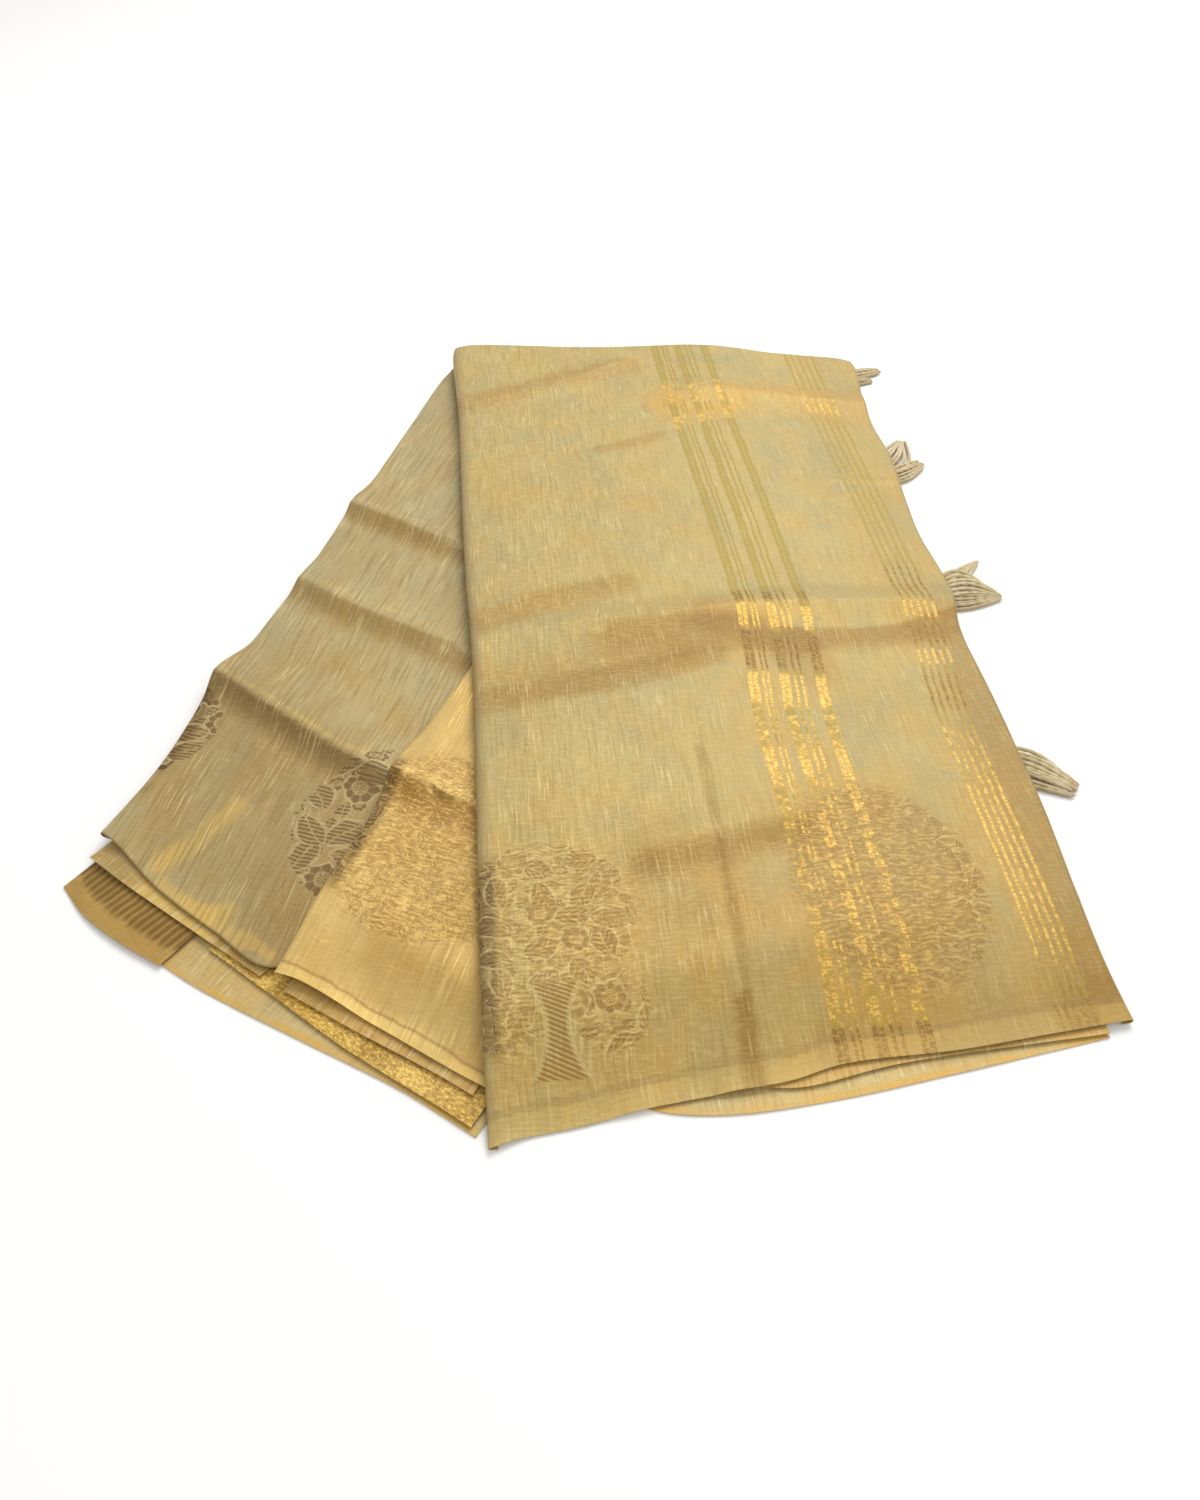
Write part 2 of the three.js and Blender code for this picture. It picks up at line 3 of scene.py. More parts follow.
import bpy
import numpy as np
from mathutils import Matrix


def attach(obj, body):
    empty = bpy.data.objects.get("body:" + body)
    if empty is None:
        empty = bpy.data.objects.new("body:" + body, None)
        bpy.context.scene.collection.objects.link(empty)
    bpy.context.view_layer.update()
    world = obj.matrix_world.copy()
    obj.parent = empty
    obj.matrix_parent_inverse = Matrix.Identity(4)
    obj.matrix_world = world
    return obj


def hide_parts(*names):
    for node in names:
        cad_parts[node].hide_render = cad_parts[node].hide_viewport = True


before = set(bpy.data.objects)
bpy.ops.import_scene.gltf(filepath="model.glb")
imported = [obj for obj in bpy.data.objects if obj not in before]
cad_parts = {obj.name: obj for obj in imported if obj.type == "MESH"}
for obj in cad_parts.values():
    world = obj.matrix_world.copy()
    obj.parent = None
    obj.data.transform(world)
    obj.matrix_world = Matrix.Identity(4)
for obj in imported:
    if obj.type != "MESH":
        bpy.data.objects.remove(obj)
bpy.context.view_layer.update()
bpy.ops.object.select_all(action="DESELECT")

# Camera: it stands before the near hem and looks down at the cloth
cameraSetup = {
    "place": (0.0021, -0.48325, 0.410),
    "lens": 28.8,
    "sensor": 36.0,
    "pitchDown": 45.73,
}
bpy.ops.object.camera_add(
    location=cameraSetup["place"],
    rotation=(math.radians(90 - cameraSetup["pitchDown"]), 0, 0),
)
camera = bpy.context.active_object
camera.name = "camera"
camera.data.lens = cameraSetup["lens"]
camera.data.sensor_width = cameraSetup["sensor"]
bpy.context.scene.camera = camera
print("camera placed")

# Studio: a plain pale floor, soft light from overhead and a weaker light from the front
studio = {
    "floorSize": 9.0,
    "floorColour": (0.94, 0.94, 0.93, 1),
    "skyColour": (1.0, 0.985, 0.96, 1),
    "skyStrength": 0.66,
    "viewTransform": "Standard",
    "lights": [
        {"name": "overheadLight", "place": (0.45, 0.95, 1.35), "size": 1.1, "power": 19},
        {"name": "frontLight", "place": (0.9, -1.3, 1.5), "size": 1.2, "power": 7},
    ],
}


def setStage():
    bpy.ops.mesh.primitive_plane_add(size=studio["floorSize"])
    floor = bpy.context.active_object
    floor.name = "floor"
    paint = bpy.data.materials.new("floorPaint")
    paint.use_nodes = True
    shader = paint.node_tree.nodes["Principled BSDF"]
    shader.inputs["Base Color"].default_value = studio["floorColour"]
    shader.inputs["Roughness"].default_value = 0.9
    floor.data.materials.append(paint)
    world = bpy.data.worlds.new("studioSky")
    world.use_nodes = True
    sky = world.node_tree.nodes["Background"]
    sky.inputs["Color"].default_value = studio["skyColour"]
    sky.inputs["Strength"].default_value = studio["skyStrength"]
    bpy.context.scene.world = world
    bpy.context.scene.view_settings.view_transform = studio["viewTransform"]
    for row in studio["lights"]:
        bpy.ops.object.light_add(type="AREA", location=row["place"])
        lamp = bpy.context.active_object
        lamp.name = row["name"]
        x, y, z = row["place"]
        lamp.rotation_euler = (math.atan2(math.hypot(x, y), z), 0, math.atan2(x, -y))
        lamp.data.size = row["size"]
        lamp.data.energy = row["power"]


setStage()
print("stage set")


# Lines, patches and heights. The tables are in millimetres on the table top; the middle of the
# laid-out cloth is the object's origin, and the pieces are placed in metres.
layout = {
    "middle": (2.9, -0.75),
    "shell": 0.45,  # thickness of the tissue
    "layerPitch": 1.5,  # from one layer's middle to the next
    "layerBase": 0.6,
    "bodyHeight": 8.0,
    "bodyHemHeight": 5.4,
    "terraceHeight": 7.0,
    "innerLift": 1.9,
    "innerHemDrop": 2.2,
    "palluHeight": 18.5,
    "palluRightHeight": 9.5,
    "pileThins": (60, 190),  # between these two x
    "stackClearance": 1.6,  # from the pile's top up to the cloth on it
    "fanHemSlope": 36,  # how far in from the hem the cloth still rises
    "bodySideRun": 26,
    "innerFoldRun": 20,
    "coverStarts": 14,  # the fan lies flat from here on, under the inner panel
    "bodyTuck": (-107, -83),  # between these x the inner panel's hem comes down off the fan
    "palluHemSlope": (50, 62),
    "bodyRoll": 1.3,
    "innerRoll": 0.9,
    "palluRoll": {"near": 0.9, "left": 2.6, "right": 1.8, "settles": 120},
    "rollLap": 2.5,  # how far a fold's edge goes on underneath
    "farFromFold": 99.0,  # for cloth without a left fold
    "ripples": {  # each with its height, the size of its waves and its seed
        "fan": [(0.3, 17, 3), (0.16, 7, 4)],
        "pallu": [(0.32, 26, 11), (0.14, 9, 12)],
        "strip": [(0.12, 12, 21)],
    },
    "rippleStarts": 30,  # from the fan's hem
    "innerRippleShift": 70,
    "creaseLean": 0.8,  # a power: below 1, a crease falls faster on its near side
    "creaseWidth": 1.6,  # of the crisp line on top of it
}

palluEdges = {
    "near": [
        (-34, -286), (-24, -282), (-2, -277), (20, -271), (49, -265), (76, -260),
        (97, -253), (142, -247), (174, -241), (211, -234),
    ],
    "far": [(-91, 277), (-84, 280), (5, 278), (73, 282), (128, 278), (166, 278), (174, 275)],
    "left": [
        (-34, -286), (-36, -264), (-41, -201), (-49, -104), (-57, -24), (-64, 29),
        (-72, 104), (-81, 192), (-91, 268), (-91, 277),
    ],
    "right": [
        (211, -234), (204, -190), (201, -124), (196, -65), (190, -5), (191, 33),
        (184, 78), (181, 160), (176, 195), (175, 232), (176, 266), (174, 275),
    ],
}
bodyEdges = {
    "near": [(-213, -143), (-205, -149), (-183, -171), (-153, -194), (-128, -211), (-104, -203)],
    "far": [(-94, 268), (-83, 266), (-72, 262)],
    "left": [
        (-213, -143), (-199, -108), (-190, -70), (-185, -40), (-174, -18), (-163, 16),
        (-153, 49), (-142, 94), (-136, 119), (-129, 138), (-118, 181), (-100, 251), (-94, 268),
    ],
    "right": [
        (-104, -203), (-78, -138), (-58, -89), (-38, -35), (-42, 30), (-50, 100),
        (-62, 190), (-72, 262),
    ],
}
innerEdges = {
    "near": [(-123, -216), (-113, -219), (-84, -236), (-51, -256), (-35, -265)],
    "far": [(-50, -18), (-36, -20)],
    "left": [
        (-123, -216), (-117, -198), (-107, -167), (-96, -138), (-89, -111), (-74, -75),
        (-60, -42), (-50, -18),
    ],
    "right": [(-35, -265), (-22, -238), (-19, -190), (-26, -120), (-33, -60), (-36, -20)],
}
fanCreases = [
    {
        "rise": 4.4, "near": 15, "far": 32, "crisp": 0.7,
        "crest": [(-192, -35), (-154, -65), (-116, -95), (-76, -117)],
    },
    {"rise": 2.8, "near": 14, "far": 26, "crisp": 0.5, "crest": [(-160, 37), (-121, 10), (-82, -12)]},
    {"rise": 2.8, "near": 15, "far": 24, "crisp": 0.5, "crest": [(-146, 111), (-110, 89), (-88, 76)]},
]
palluCreases = [
    {
        "rise": 3.2, "near": 22, "far": 18, "crisp": 0.5,
        "crest": [(-64, -31), (-15, -17), (51, -5), (109, 6), (198, 18)],
    },
    {
        "rise": 2.0, "near": 18, "far": 20, "crisp": 0.4,
        "crest": [(-86, 206), (-59, 211), (-21, 228), (18, 256)],
    },
    {"rise": 1.8, "near": 20, "far": 16, "crisp": 0.2, "crest": [(-57, -75), (-23, -74), (22, -68)]},
    {"rise": 1.6, "near": 18, "far": 18, "crisp": 0.2, "crest": [(66, 225), (96, 222), (176, 219)]},
    {"rise": 1.5, "near": 18, "far": 20, "crisp": 0.3, "crest": [(30, -161), (66, -145), (90, -141)]},
]
palluHem = {"x": [-34, -20, 6, 17, 46, 56, 214], "layer": [1.47, 0.2, 0.2, 1, 1, 2, 2]}
foldMarks = [  # shallow marks left by ironing and storing, raised or sunk by so much
    {"line": [(48, -95), (52, -128), (56, -191), (59, -227), (62, -262)], "rise": -0.55, "half": 5},
    {"line": [(-60, -10), (-26, 7), (17, 20)], "rise": 0.7, "half": 12},
    {"line": [(-56, -62), (-20, -48), (22, -40), (78, -24)], "rise": -0.6, "half": 9},
    {"line": [(4, 150), (32, 163), (46, 168)], "rise": 0.55, "half": 5},
    {"line": [(22, -96), (48, -90), (76, -92)], "rise": 0.3, "half": 4},
    {"line": [(143, 127), (179, 130)], "rise": 0.4, "half": 4},
]


def smooth(value):
    held = np.clip(value, 0, 1)
    return held * held * (3 - 2 * held)


def mix(first, second, share):
    return first + (second - first) * share


def softNoise(x, y, size, seed, cells=64, shift=900):
    table = np.random.default_rng(seed).uniform(-1, 1, (cells, cells))
    x, y = (x + shift) / size, (y + shift) / size
    column, row = np.floor(x).astype(int), np.floor(y).astype(int)
    across, along = smooth(x - column), smooth(y - row)

    def corner(i, j):
        return table[(column + i) % cells, (row + j) % cells]

    low = mix(corner(0, 0), corner(1, 0), across)
    high = mix(corner(0, 1), corner(1, 1), across)
    return mix(low, high, along)


def rippleOn(name, x, y):
    return sum(rise * softNoise(x, y, size, seed) for rise, size, seed in layout["ripples"][name])


# A smooth line through the points. It makes no loop where they are unevenly spaced.
def splineThrough(points, stops=24):
    knots = np.array(points, dtype=float)
    ends = (2 * knots[0] - knots[1], 2 * knots[-1] - knots[-2])
    knots = np.vstack([ends[0], knots, ends[1]])
    made = [knots[1:2]]
    share = np.linspace(0, 1, stops + 1)[1:, None]
    for k in range(1, len(knots) - 2):
        before, start, end, after = knots[k - 1:k + 3]
        gaps = [math.sqrt(math.dist(a, b)) for a, b in ((before, start), (start, end), (end, after))]
        leave = (start - before) / gaps[0] - (end - before) / (gaps[0] + gaps[1]) + (end - start) / gaps[1]
        arrive = (end - start) / gaps[1] - (after - start) / (gaps[1] + gaps[2]) + (after - end) / gaps[2]
        leave, arrive = leave * gaps[1], arrive * gaps[1]
        bend = 2 * start - 2 * end + leave + arrive
        lean = -3 * start + 3 * end - 2 * leave - arrive
        made.append(start + leave * share + lean * share**2 + bend * share**3)
    points = np.vstack(made)
    steps = np.hypot(*np.diff(points, axis=0).T)
    length = np.concatenate([[0], np.cumsum(steps)])
    return {"points": points, "share": length / length[-1], "length": length[-1]}


def onSpline(line, share):
    return np.stack([np.interp(share, line["share"], line["points"][:, k]) for k in (0, 1)], -1)


def patchBetween(edges):
    return {side: splineThrough(points) for side, points in edges.items()}


def onPatch(patch, s, t):
    across, along = s[..., None], t[..., None]
    near, far = onSpline(patch["near"], s), onSpline(patch["far"], s)
    left, right = onSpline(patch["left"], t), onSpline(patch["right"], t)
    corners = [
        (1 - across) * (1 - along) * patch["near"]["points"][0],
        across * (1 - along) * patch["near"]["points"][-1],
        (1 - across) * along * patch["far"]["points"][0],
        across * along * patch["far"]["points"][-1],
    ]
    return near * (1 - along) + far * along + left * (1 - across) + right * across - sum(corners)


def nearestOn(line, x, y):
    distance = np.full(np.shape(x), np.inf)
    side = np.ones(np.shape(x))
    for (fromX, fromY), (toX, toY) in zip(line, line[1:]):
        runX, runY = toX - fromX, toY - fromY
        share = ((x - fromX) * runX + (y - fromY) * runY) / (runX**2 + runY**2)
        share = np.clip(share, 0, 1)
        offX, offY = x - fromX - share * runX, y - fromY - share * runY
        here = np.hypot(offX, offY)
        closer = here < distance
        distance = np.where(closer, here, distance)
        side = np.where(closer, np.where(runX * offY - runY * offX > 0, 1, -1), side)
    return distance, side


def creaseRise(creases, x, y):
    rise = np.zeros(np.shape(x))
    for crease in creases:
        distance, side = nearestOn(crease["crest"], x, y)
        nearReach = (distance / crease["near"]) ** layout["creaseLean"]
        reach = np.where(side > 0, distance / crease["far"], nearReach)
        swell = 0.5 * (1 + np.cos(math.pi * np.clip(reach, 0, 1)))
        rise += crease["rise"] * swell + crease["crisp"] * np.exp(-distance / layout["creaseWidth"])
    return rise


def foldMarkRise(marks, x, y):
    rise = np.zeros(np.shape(x))
    for mark in marks:
        distance, _ = nearestOn(mark["line"], x, y)
        rise += mark["rise"] * (1 - smooth(distance / mark["half"]))
    return rise


fanHemLine = bodyEdges["near"][:-1] + innerEdges["near"][1:]
innerFoldLine = innerEdges["left"]


def layerHeight(layer):
    return layer * layout["layerPitch"] + layout["layerBase"]


def fanSlope(x, y):
    fromHem, _ = nearestOn(fanHemLine, x, y)
    fromSide, _ = nearestOn(bodyEdges["left"], x, y)
    slope = mix(layout["bodyHemHeight"], layout["bodyHeight"], smooth(fromHem / layout["fanHemSlope"]))
    return mix(layout["bodyHeight"], slope, smooth(fromSide / layout["bodySideRun"]))


def fanRipple(x, y):
    fromHem, _ = nearestOn(fanHemLine, x, y)
    return rippleOn("fan", x, y) * smooth(fromHem / layout["rippleStarts"])


def bodyTop(x, y, s, fromHem):
    distance, side = nearestOn(innerFoldLine, x, y)
    covered = smooth((layout["coverStarts"] - side * distance) / layout["innerFoldRun"])
    return fanSlope(x, y) + (creaseRise(fanCreases, x, y) + fanRipple(x, y)) * (1 - covered)


def innerTop(x, y, s, fromHem):
    fromFold, _ = nearestOn(innerFoldLine, x, y)
    overFold = 1 - smooth(fromFold / layout["innerFoldRun"])
    fromFanHem, _ = nearestOn(fanHemLine, x, y)
    overHem = 1 - smooth(fromFanHem / layout["fanHemSlope"])
    start, end = layout["bodyTuck"]
    pastBody = smooth((x - start) / (end - start))
    lift = layout["innerLift"] - layout["innerHemDrop"] * overHem * pastBody * (1 - overFold)
    lift = lift + 2 * layout["innerRoll"] * overFold
    ripple = fanRipple(x + layout["innerRippleShift"], y) * (1 - overFold)
    return fanSlope(x, y) + creaseRise(fanCreases, x, y) + lift + ripple


def thinningAt(x):
    start, end = layout["pileThins"]
    return smooth((x - start) / (end - start))


def pileTop(x):
    return mix(layout["palluHeight"], layout["palluRightHeight"], thinningAt(x))


def palluTop(x, y, s, fromHem):
    slope = mix(layout["palluHemSlope"][0], layout["palluHemSlope"][1], s)
    hem = layerHeight(np.interp(x, palluHem["x"], palluHem["layer"]))
    settled = smooth(fromHem / slope)
    fine = rippleOn("pallu", x, y) + foldMarkRise(foldMarks, x, y)
    return mix(hem, pileTop(x), settled) + creaseRise(palluCreases, x, y) + fine * settled


def palluRollRadius(x, y):
    roll = layout["palluRoll"]
    settled = smooth((y - palluEdges["near"][0][1]) / roll["settles"])
    return mix(roll["near"], mix(roll["left"], roll["right"], thinningAt(x)), settled)


# Painted light and shade along lines on the cloth, standing in for the shading of its creases and
# folds and the sheen of the tissue. Each row has how far it reaches on the near and the far side of
# its line, how much of that is its plain core, and what it adds of gold (painted sheen), dark
# (painted shade) and shine (painted highlight).
def paintedLightAndShadeOn(paintedLightAndShade, x, y):
    lightShadeLook = np.zeros(np.shape(x) + (3,))
    for wash in paintedLightAndShade:
        distance, side = nearestOn(wash["line"], x, y)
        reach = distance / np.where(side > 0, wash.get("far", wash["near"]), wash["near"])
        core = wash.get("core", 0)
        strength = 1 - smooth((reach - core) / (1 - core))
        for channel, key in enumerate(("gold", "dark", "shine")):
            lightShadeLook[..., channel] += wash.get(key, 0) * strength
    return np.clip(lightShadeLook, 0, 1)


# A sheet is a grid laid over its patch, with a roll added along each edge that is a fold
rollTurns = np.radians(np.linspace(18, 180, 10))


def ringsOf(stops, folds):
    before, after = folds
    rings = len(rollTurns) + 1
    depth = np.concatenate([
        np.arange(rings, 0, -1) if before else [],
        np.zeros(stops + 1),
        np.arange(1, rings + 1) if after else [],
    ])
    share = np.concatenate([
        np.zeros(rings if before else 0),
        np.linspace(0, 1, stops + 1),
        np.ones(rings if after else 0),
    ])
    return share, depth


def addGrid(name, columns, rows):
    bpy.ops.mesh.primitive_grid_add(x_subdivisions=columns, y_subdivisions=rows, size=1)
    grid = bpy.context.active_object
    grid.name = name
    grid.data.name = name
    corners = np.empty(len(grid.data.vertices) * 3)
    grid.data.vertices.foreach_get("co", corners)
    corners = corners.reshape(-1, 3)
    column = np.rint((corners[:, 0] + 0.5) * columns).astype(int)
    row = np.rint((corners[:, 1] + 0.5) * rows).astype(int)
    return grid, column, row


def setPoints(piece, points):
    piece.data.vertices.foreach_set("co", points.astype(np.float32).ravel())
    piece.data.update()


def setFlatMap(piece, flat):
    loops = np.empty(len(piece.data.loops), dtype=np.int32)
    piece.data.loops.foreach_get("vertex_index", loops)
    piece.data.uv_layers[0].data.foreach_set("uv", flat[loops].astype(np.float32).ravel())


def setAttribute(piece, name, kind, values):
    attribute = piece.data.attributes.new(name, kind, "POINT")
    key = "vector" if kind == "FLOAT_VECTOR" else "value"
    attribute.data.foreach_set(key, values.astype(np.float32).ravel())


def pick(active, *others):
    bpy.ops.object.select_all(action="DESELECT")
    for piece in (active, *others):
        piece.select_set(True)
    bpy.context.view_layer.objects.active = active


def applyModifier(piece, kind, **settings):
    pick(piece)
    modifier = piece.modifiers.new(kind.title(), kind)
    for key, value in settings.items():
        setattr(modifier, key, value)
    bpy.ops.object.modifier_apply(modifier=modifier.name)


def tidyMesh(piece):
    pick(piece)
    bpy.ops.object.mode_set(mode="EDIT")
    bpy.ops.mesh.select_all(action="SELECT")
    bpy.ops.mesh.remove_doubles(threshold=0.00001)
    bpy.ops.mesh.normals_make_consistent(inside=False)
    bpy.ops.object.mode_set(mode="OBJECT")


def smoothShade(piece, angle=50):
    pick(piece)
    bpy.ops.object.shade_smooth_by_angle(angle=math.radians(angle))


def dress(piece, material, replaced):
    piece.data.materials.clear()
    piece.data.materials.append(material)
    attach(piece, "root")
    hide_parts(replaced)


# Where a point of the table lies on the woven cloth, whose warp is turned by the grain
def flatPlace(x, y, grainDegrees):
    grain = math.radians(grainDegrees)
    u = x * math.cos(grain) + y * math.sin(grain)
    v = y * math.cos(grain) - x * math.sin(grain)
    return u / 1000, v / 1000


def unit(vectors):
    return vectors / (np.linalg.norm(vectors, axis=-1, keepdims=True) + 1e-9)


# Outward directions: along the sides, along the far edge, and fanned round a corner
def outwardOn(place, sideDepth, farDepth, flatRows):
    columns = place.shape[1]
    outer = np.where(np.arange(columns) < columns / 2, -1, 1)
    sideways = np.gradient(place, axis=0)[..., ::-1] * np.array([1, -1]) * outer[None, :, None]
    if farDepth.any():
        sideways[flatRows:] = sideways[flatRows - 1]
    farward = np.gradient(place, axis=1)[..., ::-1] * np.array([-1, 1])
    flatColumns = np.flatnonzero(sideDepth[0] == 0)
    farward[:, :flatColumns[0] + 1] = farward[:, flatColumns[1]][:, None]
    farward[:, flatColumns[-1]:] = farward[:, flatColumns[-2]][:, None]
    return unit(unit(sideways) * sideDepth[..., None] + unit(farward) * farDepth[..., None])


# Lays one stretch of cloth: its grid takes the patch's shape, and its attributes hold the painted
# light and shade and how far each point is from the hem and from the left fold
def layCloth(cloth):
    patch = patchBetween(cloth["edges"])
    folds = cloth.get("folds", ())
    across, leftRight = ringsOf(cloth["columns"], ("left" in folds, "right" in folds))
    along, nearFar = ringsOf(cloth["rows"], (False, "far" in folds))
    t, s = np.meshgrid(along, across, indexing="ij")
    sideDepth = np.broadcast_to(leftRight, s.shape)
    farDepth = np.broadcast_to(nearFar[:, None], s.shape)
    place = onPatch(patch, s, t)
    x, y = place[..., 0], place[..., 1]
    fromHem = t * mix(patch["left"]["length"], patch["right"]["length"], s)
    height = cloth["height"](x, y, s, fromHem)

    # Rolled folds: out, round and back under
    outward = outwardOn(place, sideDepth, farDepth, cloth["rows"])
    depth = np.maximum(sideDepth, farDepth).astype(int)
    radius = cloth["roll"](x, y) if folds else np.ones(s.shape)
    turns = np.concatenate([[0], rollTurns, [math.pi]])[depth]
    lap = np.where(depth > len(rollTurns), layout["rollLap"], 0)
    made = place + outward * (radius * np.sin(turns) - lap)[..., None]
    height = height - radius * (1 - np.cos(turns))
    wrapped = place + outward * (radius * turns + lap)[..., None]
    wrappedX, wrappedY = wrapped[..., 0], wrapped[..., 1]
    fromFold = np.full(s.shape, layout["farFromFold"])
    if "left" in folds:
        fromLeft, _ = nearestOn(cloth["edges"]["left"], x, y)
        fromFold = np.where(depth > 0, -radius * turns, fromLeft)

    # The grid's vertices take their places, in metres
    sheet, column, row = addGrid(cloth["name"], len(across) - 1, len(along) - 1)
    points = np.dstack([made - np.array(layout["middle"]), height])
    setPoints(sheet, points[row, column] / 1000)
    flat = np.stack(flatPlace(wrappedX, wrappedY, cloth["grain"]), -1)
    setFlatMap(sheet, flat[row, column])
    for name, paintedLightAndShade in (("lightShadeLook", cloth.get("paintedLightAndShade", [])), ("threadLightShadeLook", cloth.get("threadPaintedLightAndShade"))):
        if paintedLightAndShade is not None:
            lightShadeLook = paintedLightAndShadeOn(paintedLightAndShade, wrappedX, wrappedY)
            setAttribute(sheet, name, "FLOAT_VECTOR", lightShadeLook[row, column])
    setAttribute(sheet, "fromHem", "FLOAT", fromHem[row, column] / 1000)
    setAttribute(sheet, "fromFold", "FLOAT", fromFold[row, column] / 1000)
    applyModifier(sheet, "SOLIDIFY", thickness=layout["shell"] / 1000, offset=0, use_even_offset=False)
    smoothShade(sheet)
    dress(sheet, cloth["material"](), cloth["replaces"])
    print("cloth laid:", cloth["name"], len(sheet.data.polygons), "faces")


# Small helpers for the shader nodes
def put(tree, kind, inputs=None, **settings):
    node = tree.nodes.new("ShaderNode" + kind)
    for key, value in settings.items():
        setattr(node, key, value)
    for key, value in (inputs or {}).items():
        if isinstance(value, bpy.types.NodeSocket):
            tree.links.new(value, node.inputs[key])
        else:
            node.inputs[key].default_value = value
    return node


def calc(tree, operation, first, second=0.0):
    return put(tree, "Math", {0: first, 1: second}, operation=operation).outputs[0]


def times(tree, first, *others):
    for other in others:
        first = calc(tree, "MULTIPLY", first, other)
    return first


def plus(tree, first, *others):
    for other in others:
        first = calc(tree, "ADD", first, other)
    return first


def minus(tree, first, second):
    return calc(tree, "SUBTRACT", first, second)


def swing(tree, noise, amount):  # to both sides of nothing
    return times(tree, minus(tree, noise, 0.5), amount)


def onVector(tree, operation, first, second):
    return put(tree, "VectorMath", {0: first, 1: second}, operation=operation).outputs[0]


def stretched(tree, vector, across, along, up=1):
    return onVector(tree, "MULTIPLY", vector, (across, along, up))


def apart(tree, vector):
    return put(tree, "SeparateXYZ", {0: vector}).outputs


def joined(tree, x, y=0.0):
    return put(tree, "CombineXYZ", {"X": x, "Y": y}).outputs[0]


def attributeOf(tree, name, output="Fac"):
    return put(tree, "Attribute", attribute_name=name).outputs[output]


def spread(tree, value, low, high, toLow=0.0, toHigh=1.0):
    inputs = {"Value": value, "From Min": low, "From Max": high, "To Min": toLow, "To Max": toHigh}
    return put(tree, "MapRange", inputs, interpolation_type="SMOOTHSTEP").outputs[0]


def blend(tree, amount, first, second):
    return put(tree, "Mix", {0: amount, 6: first, 7: second}, data_type="RGBA").outputs[2]


def between(tree, amount, first, second):
    return put(tree, "Mix", {0: amount, 2: first, 3: second}, data_type="FLOAT").outputs[0]


def mottle(tree, vector, scale=1.0, detail=2.0, roughness=0.5):
    inputs = {"Vector": vector, "Scale": scale, "Detail": detail, "Roughness": roughness}
    return put(tree, "TexNoise", inputs).outputs[0]


def scattered(tree, vector, scale, amount):
    inputs = {"Vector": stretched(tree, vector, scale, scale), "Scale": 1.0, "Detail": 1.0}
    noise = put(tree, "TexNoise", inputs)
    centred = onVector(tree, "SUBTRACT", noise.outputs["Color"], (0.5, 0.5, 0.5))
    return stretched(tree, centred, amount, amount, 0)


def tint(red, green, blue):
    linear = [((c / 255 + 0.055) / 1.055) ** 2.4 for c in (red, green, blue)]
    return (*linear, 1)


def newMaterial(name):
    material = bpy.data.materials.new(name)
    material.use_nodes = True
    return material, material.node_tree


def setShader(tree, colour, relief, values):
    shader = tree.nodes["Principled BSDF"]
    tree.links.new(colour, shader.inputs["Base Color"])
    for key, value in values.items():
        shader.inputs[key].default_value = value
    tree.links.new(put(tree, "Bump", relief).outputs[0], shader.inputs["Normal"])
    return shader


def newGroup(name, takes, gives):
    group = bpy.data.node_groups.new(name, "ShaderNodeTree")
    for label in takes:
        kind = "Vector" if label in ("Vector", "Centre") else "Float"
        group.interface.new_socket(name=label, in_out="INPUT", socket_type="NodeSocket" + kind)
    for label in gives:
        group.interface.new_socket(name=label, in_out="OUTPUT", socket_type="NodeSocketFloat")
    return group, group.nodes.new("NodeGroupInput").outputs


def finishGroup(group, given):
    ends = group.nodes.new("NodeGroupOutput").inputs
    for label, socket in given.items():
        group.links.new(socket, ends[label])
    return group


def useGroup(tree, group, inputs):
    return put(tree, "Group", inputs, node_tree=group).outputs


# Tissue: dark slubs and short pale flecks along the warp, fine picks across it, and soft clouds.
# Each noise says how fine it is across and along the cloth, and the part of it that counts.
tissueNoises = {
    "slub": {"fine": (700, 38), "detail": 3, "roughness": 0.65, "span": (0.45, 0.66)},
    "pick": {"fine": (170, 950), "detail": 3, "roughness": 0.65, "span": (0.45, 0.66)},
    "cloud": {"fine": (15, 12), "detail": 4, "roughness": 0.6, "span": (0.38, 0.6)},
    "warmth": {"fine": (34, 26), "detail": 3, "roughness": 0.6, "span": (0.4, 0.6)},
    "fleck": {"fine": (860, 62), "detail": 2, "roughness": 0.55, "span": (0.53, 0.66)},
    "cluster": {"fine": (70, 42), "detail": 2, "roughness": 0.5, "span": (0.4, 0.6, 0.2, 1)},
    "longFleck": {"fine": (640, 20), "detail": 2.5, "roughness": 0.6, "span": (0.57, 0.74, 0, 0.5)},
}
warpSway = {"fine": (18, 26), "by": 0.004}


def makeTissueWeave():
    gives = ["Slub", "Fleck", "Pick", "Cloud", "Warmth", "Height"]
    group, takenIn = newGroup("tissueWeave", ["Vector"], gives)
    flat = takenIn["Vector"]
    bend = mottle(group, stretched(group, flat, *warpSway["fine"]), detail=1)
    flat = onVector(group, "ADD", flat, joined(group, swing(group, bend, warpSway["by"])))
    noise, seen = {}, {}
    for key, row in tissueNoises.items():
        fine = stretched(group, flat, *row["fine"])
        noise[key] = mottle(group, fine, 1.0, row["detail"], row["roughness"])
        seen[key] = spread(group, noise[key], *row["span"])
    fleck = calc(group, "MAXIMUM", times(group, seen["fleck"], seen["cluster"]), seen["longFleck"])
    relief = plus(
        group, times(group, noise["slub"], 0.4), times(group, noise["pick"], 0.25), times(group, fleck, 0.2)
    )
    return finishGroup(group, {
        "Slub": seen["slub"], "Fleck": fleck, "Pick": seen["pick"],
        "Cloud": seen["cloud"], "Warmth": seen["warmth"], "Height": relief,
    })


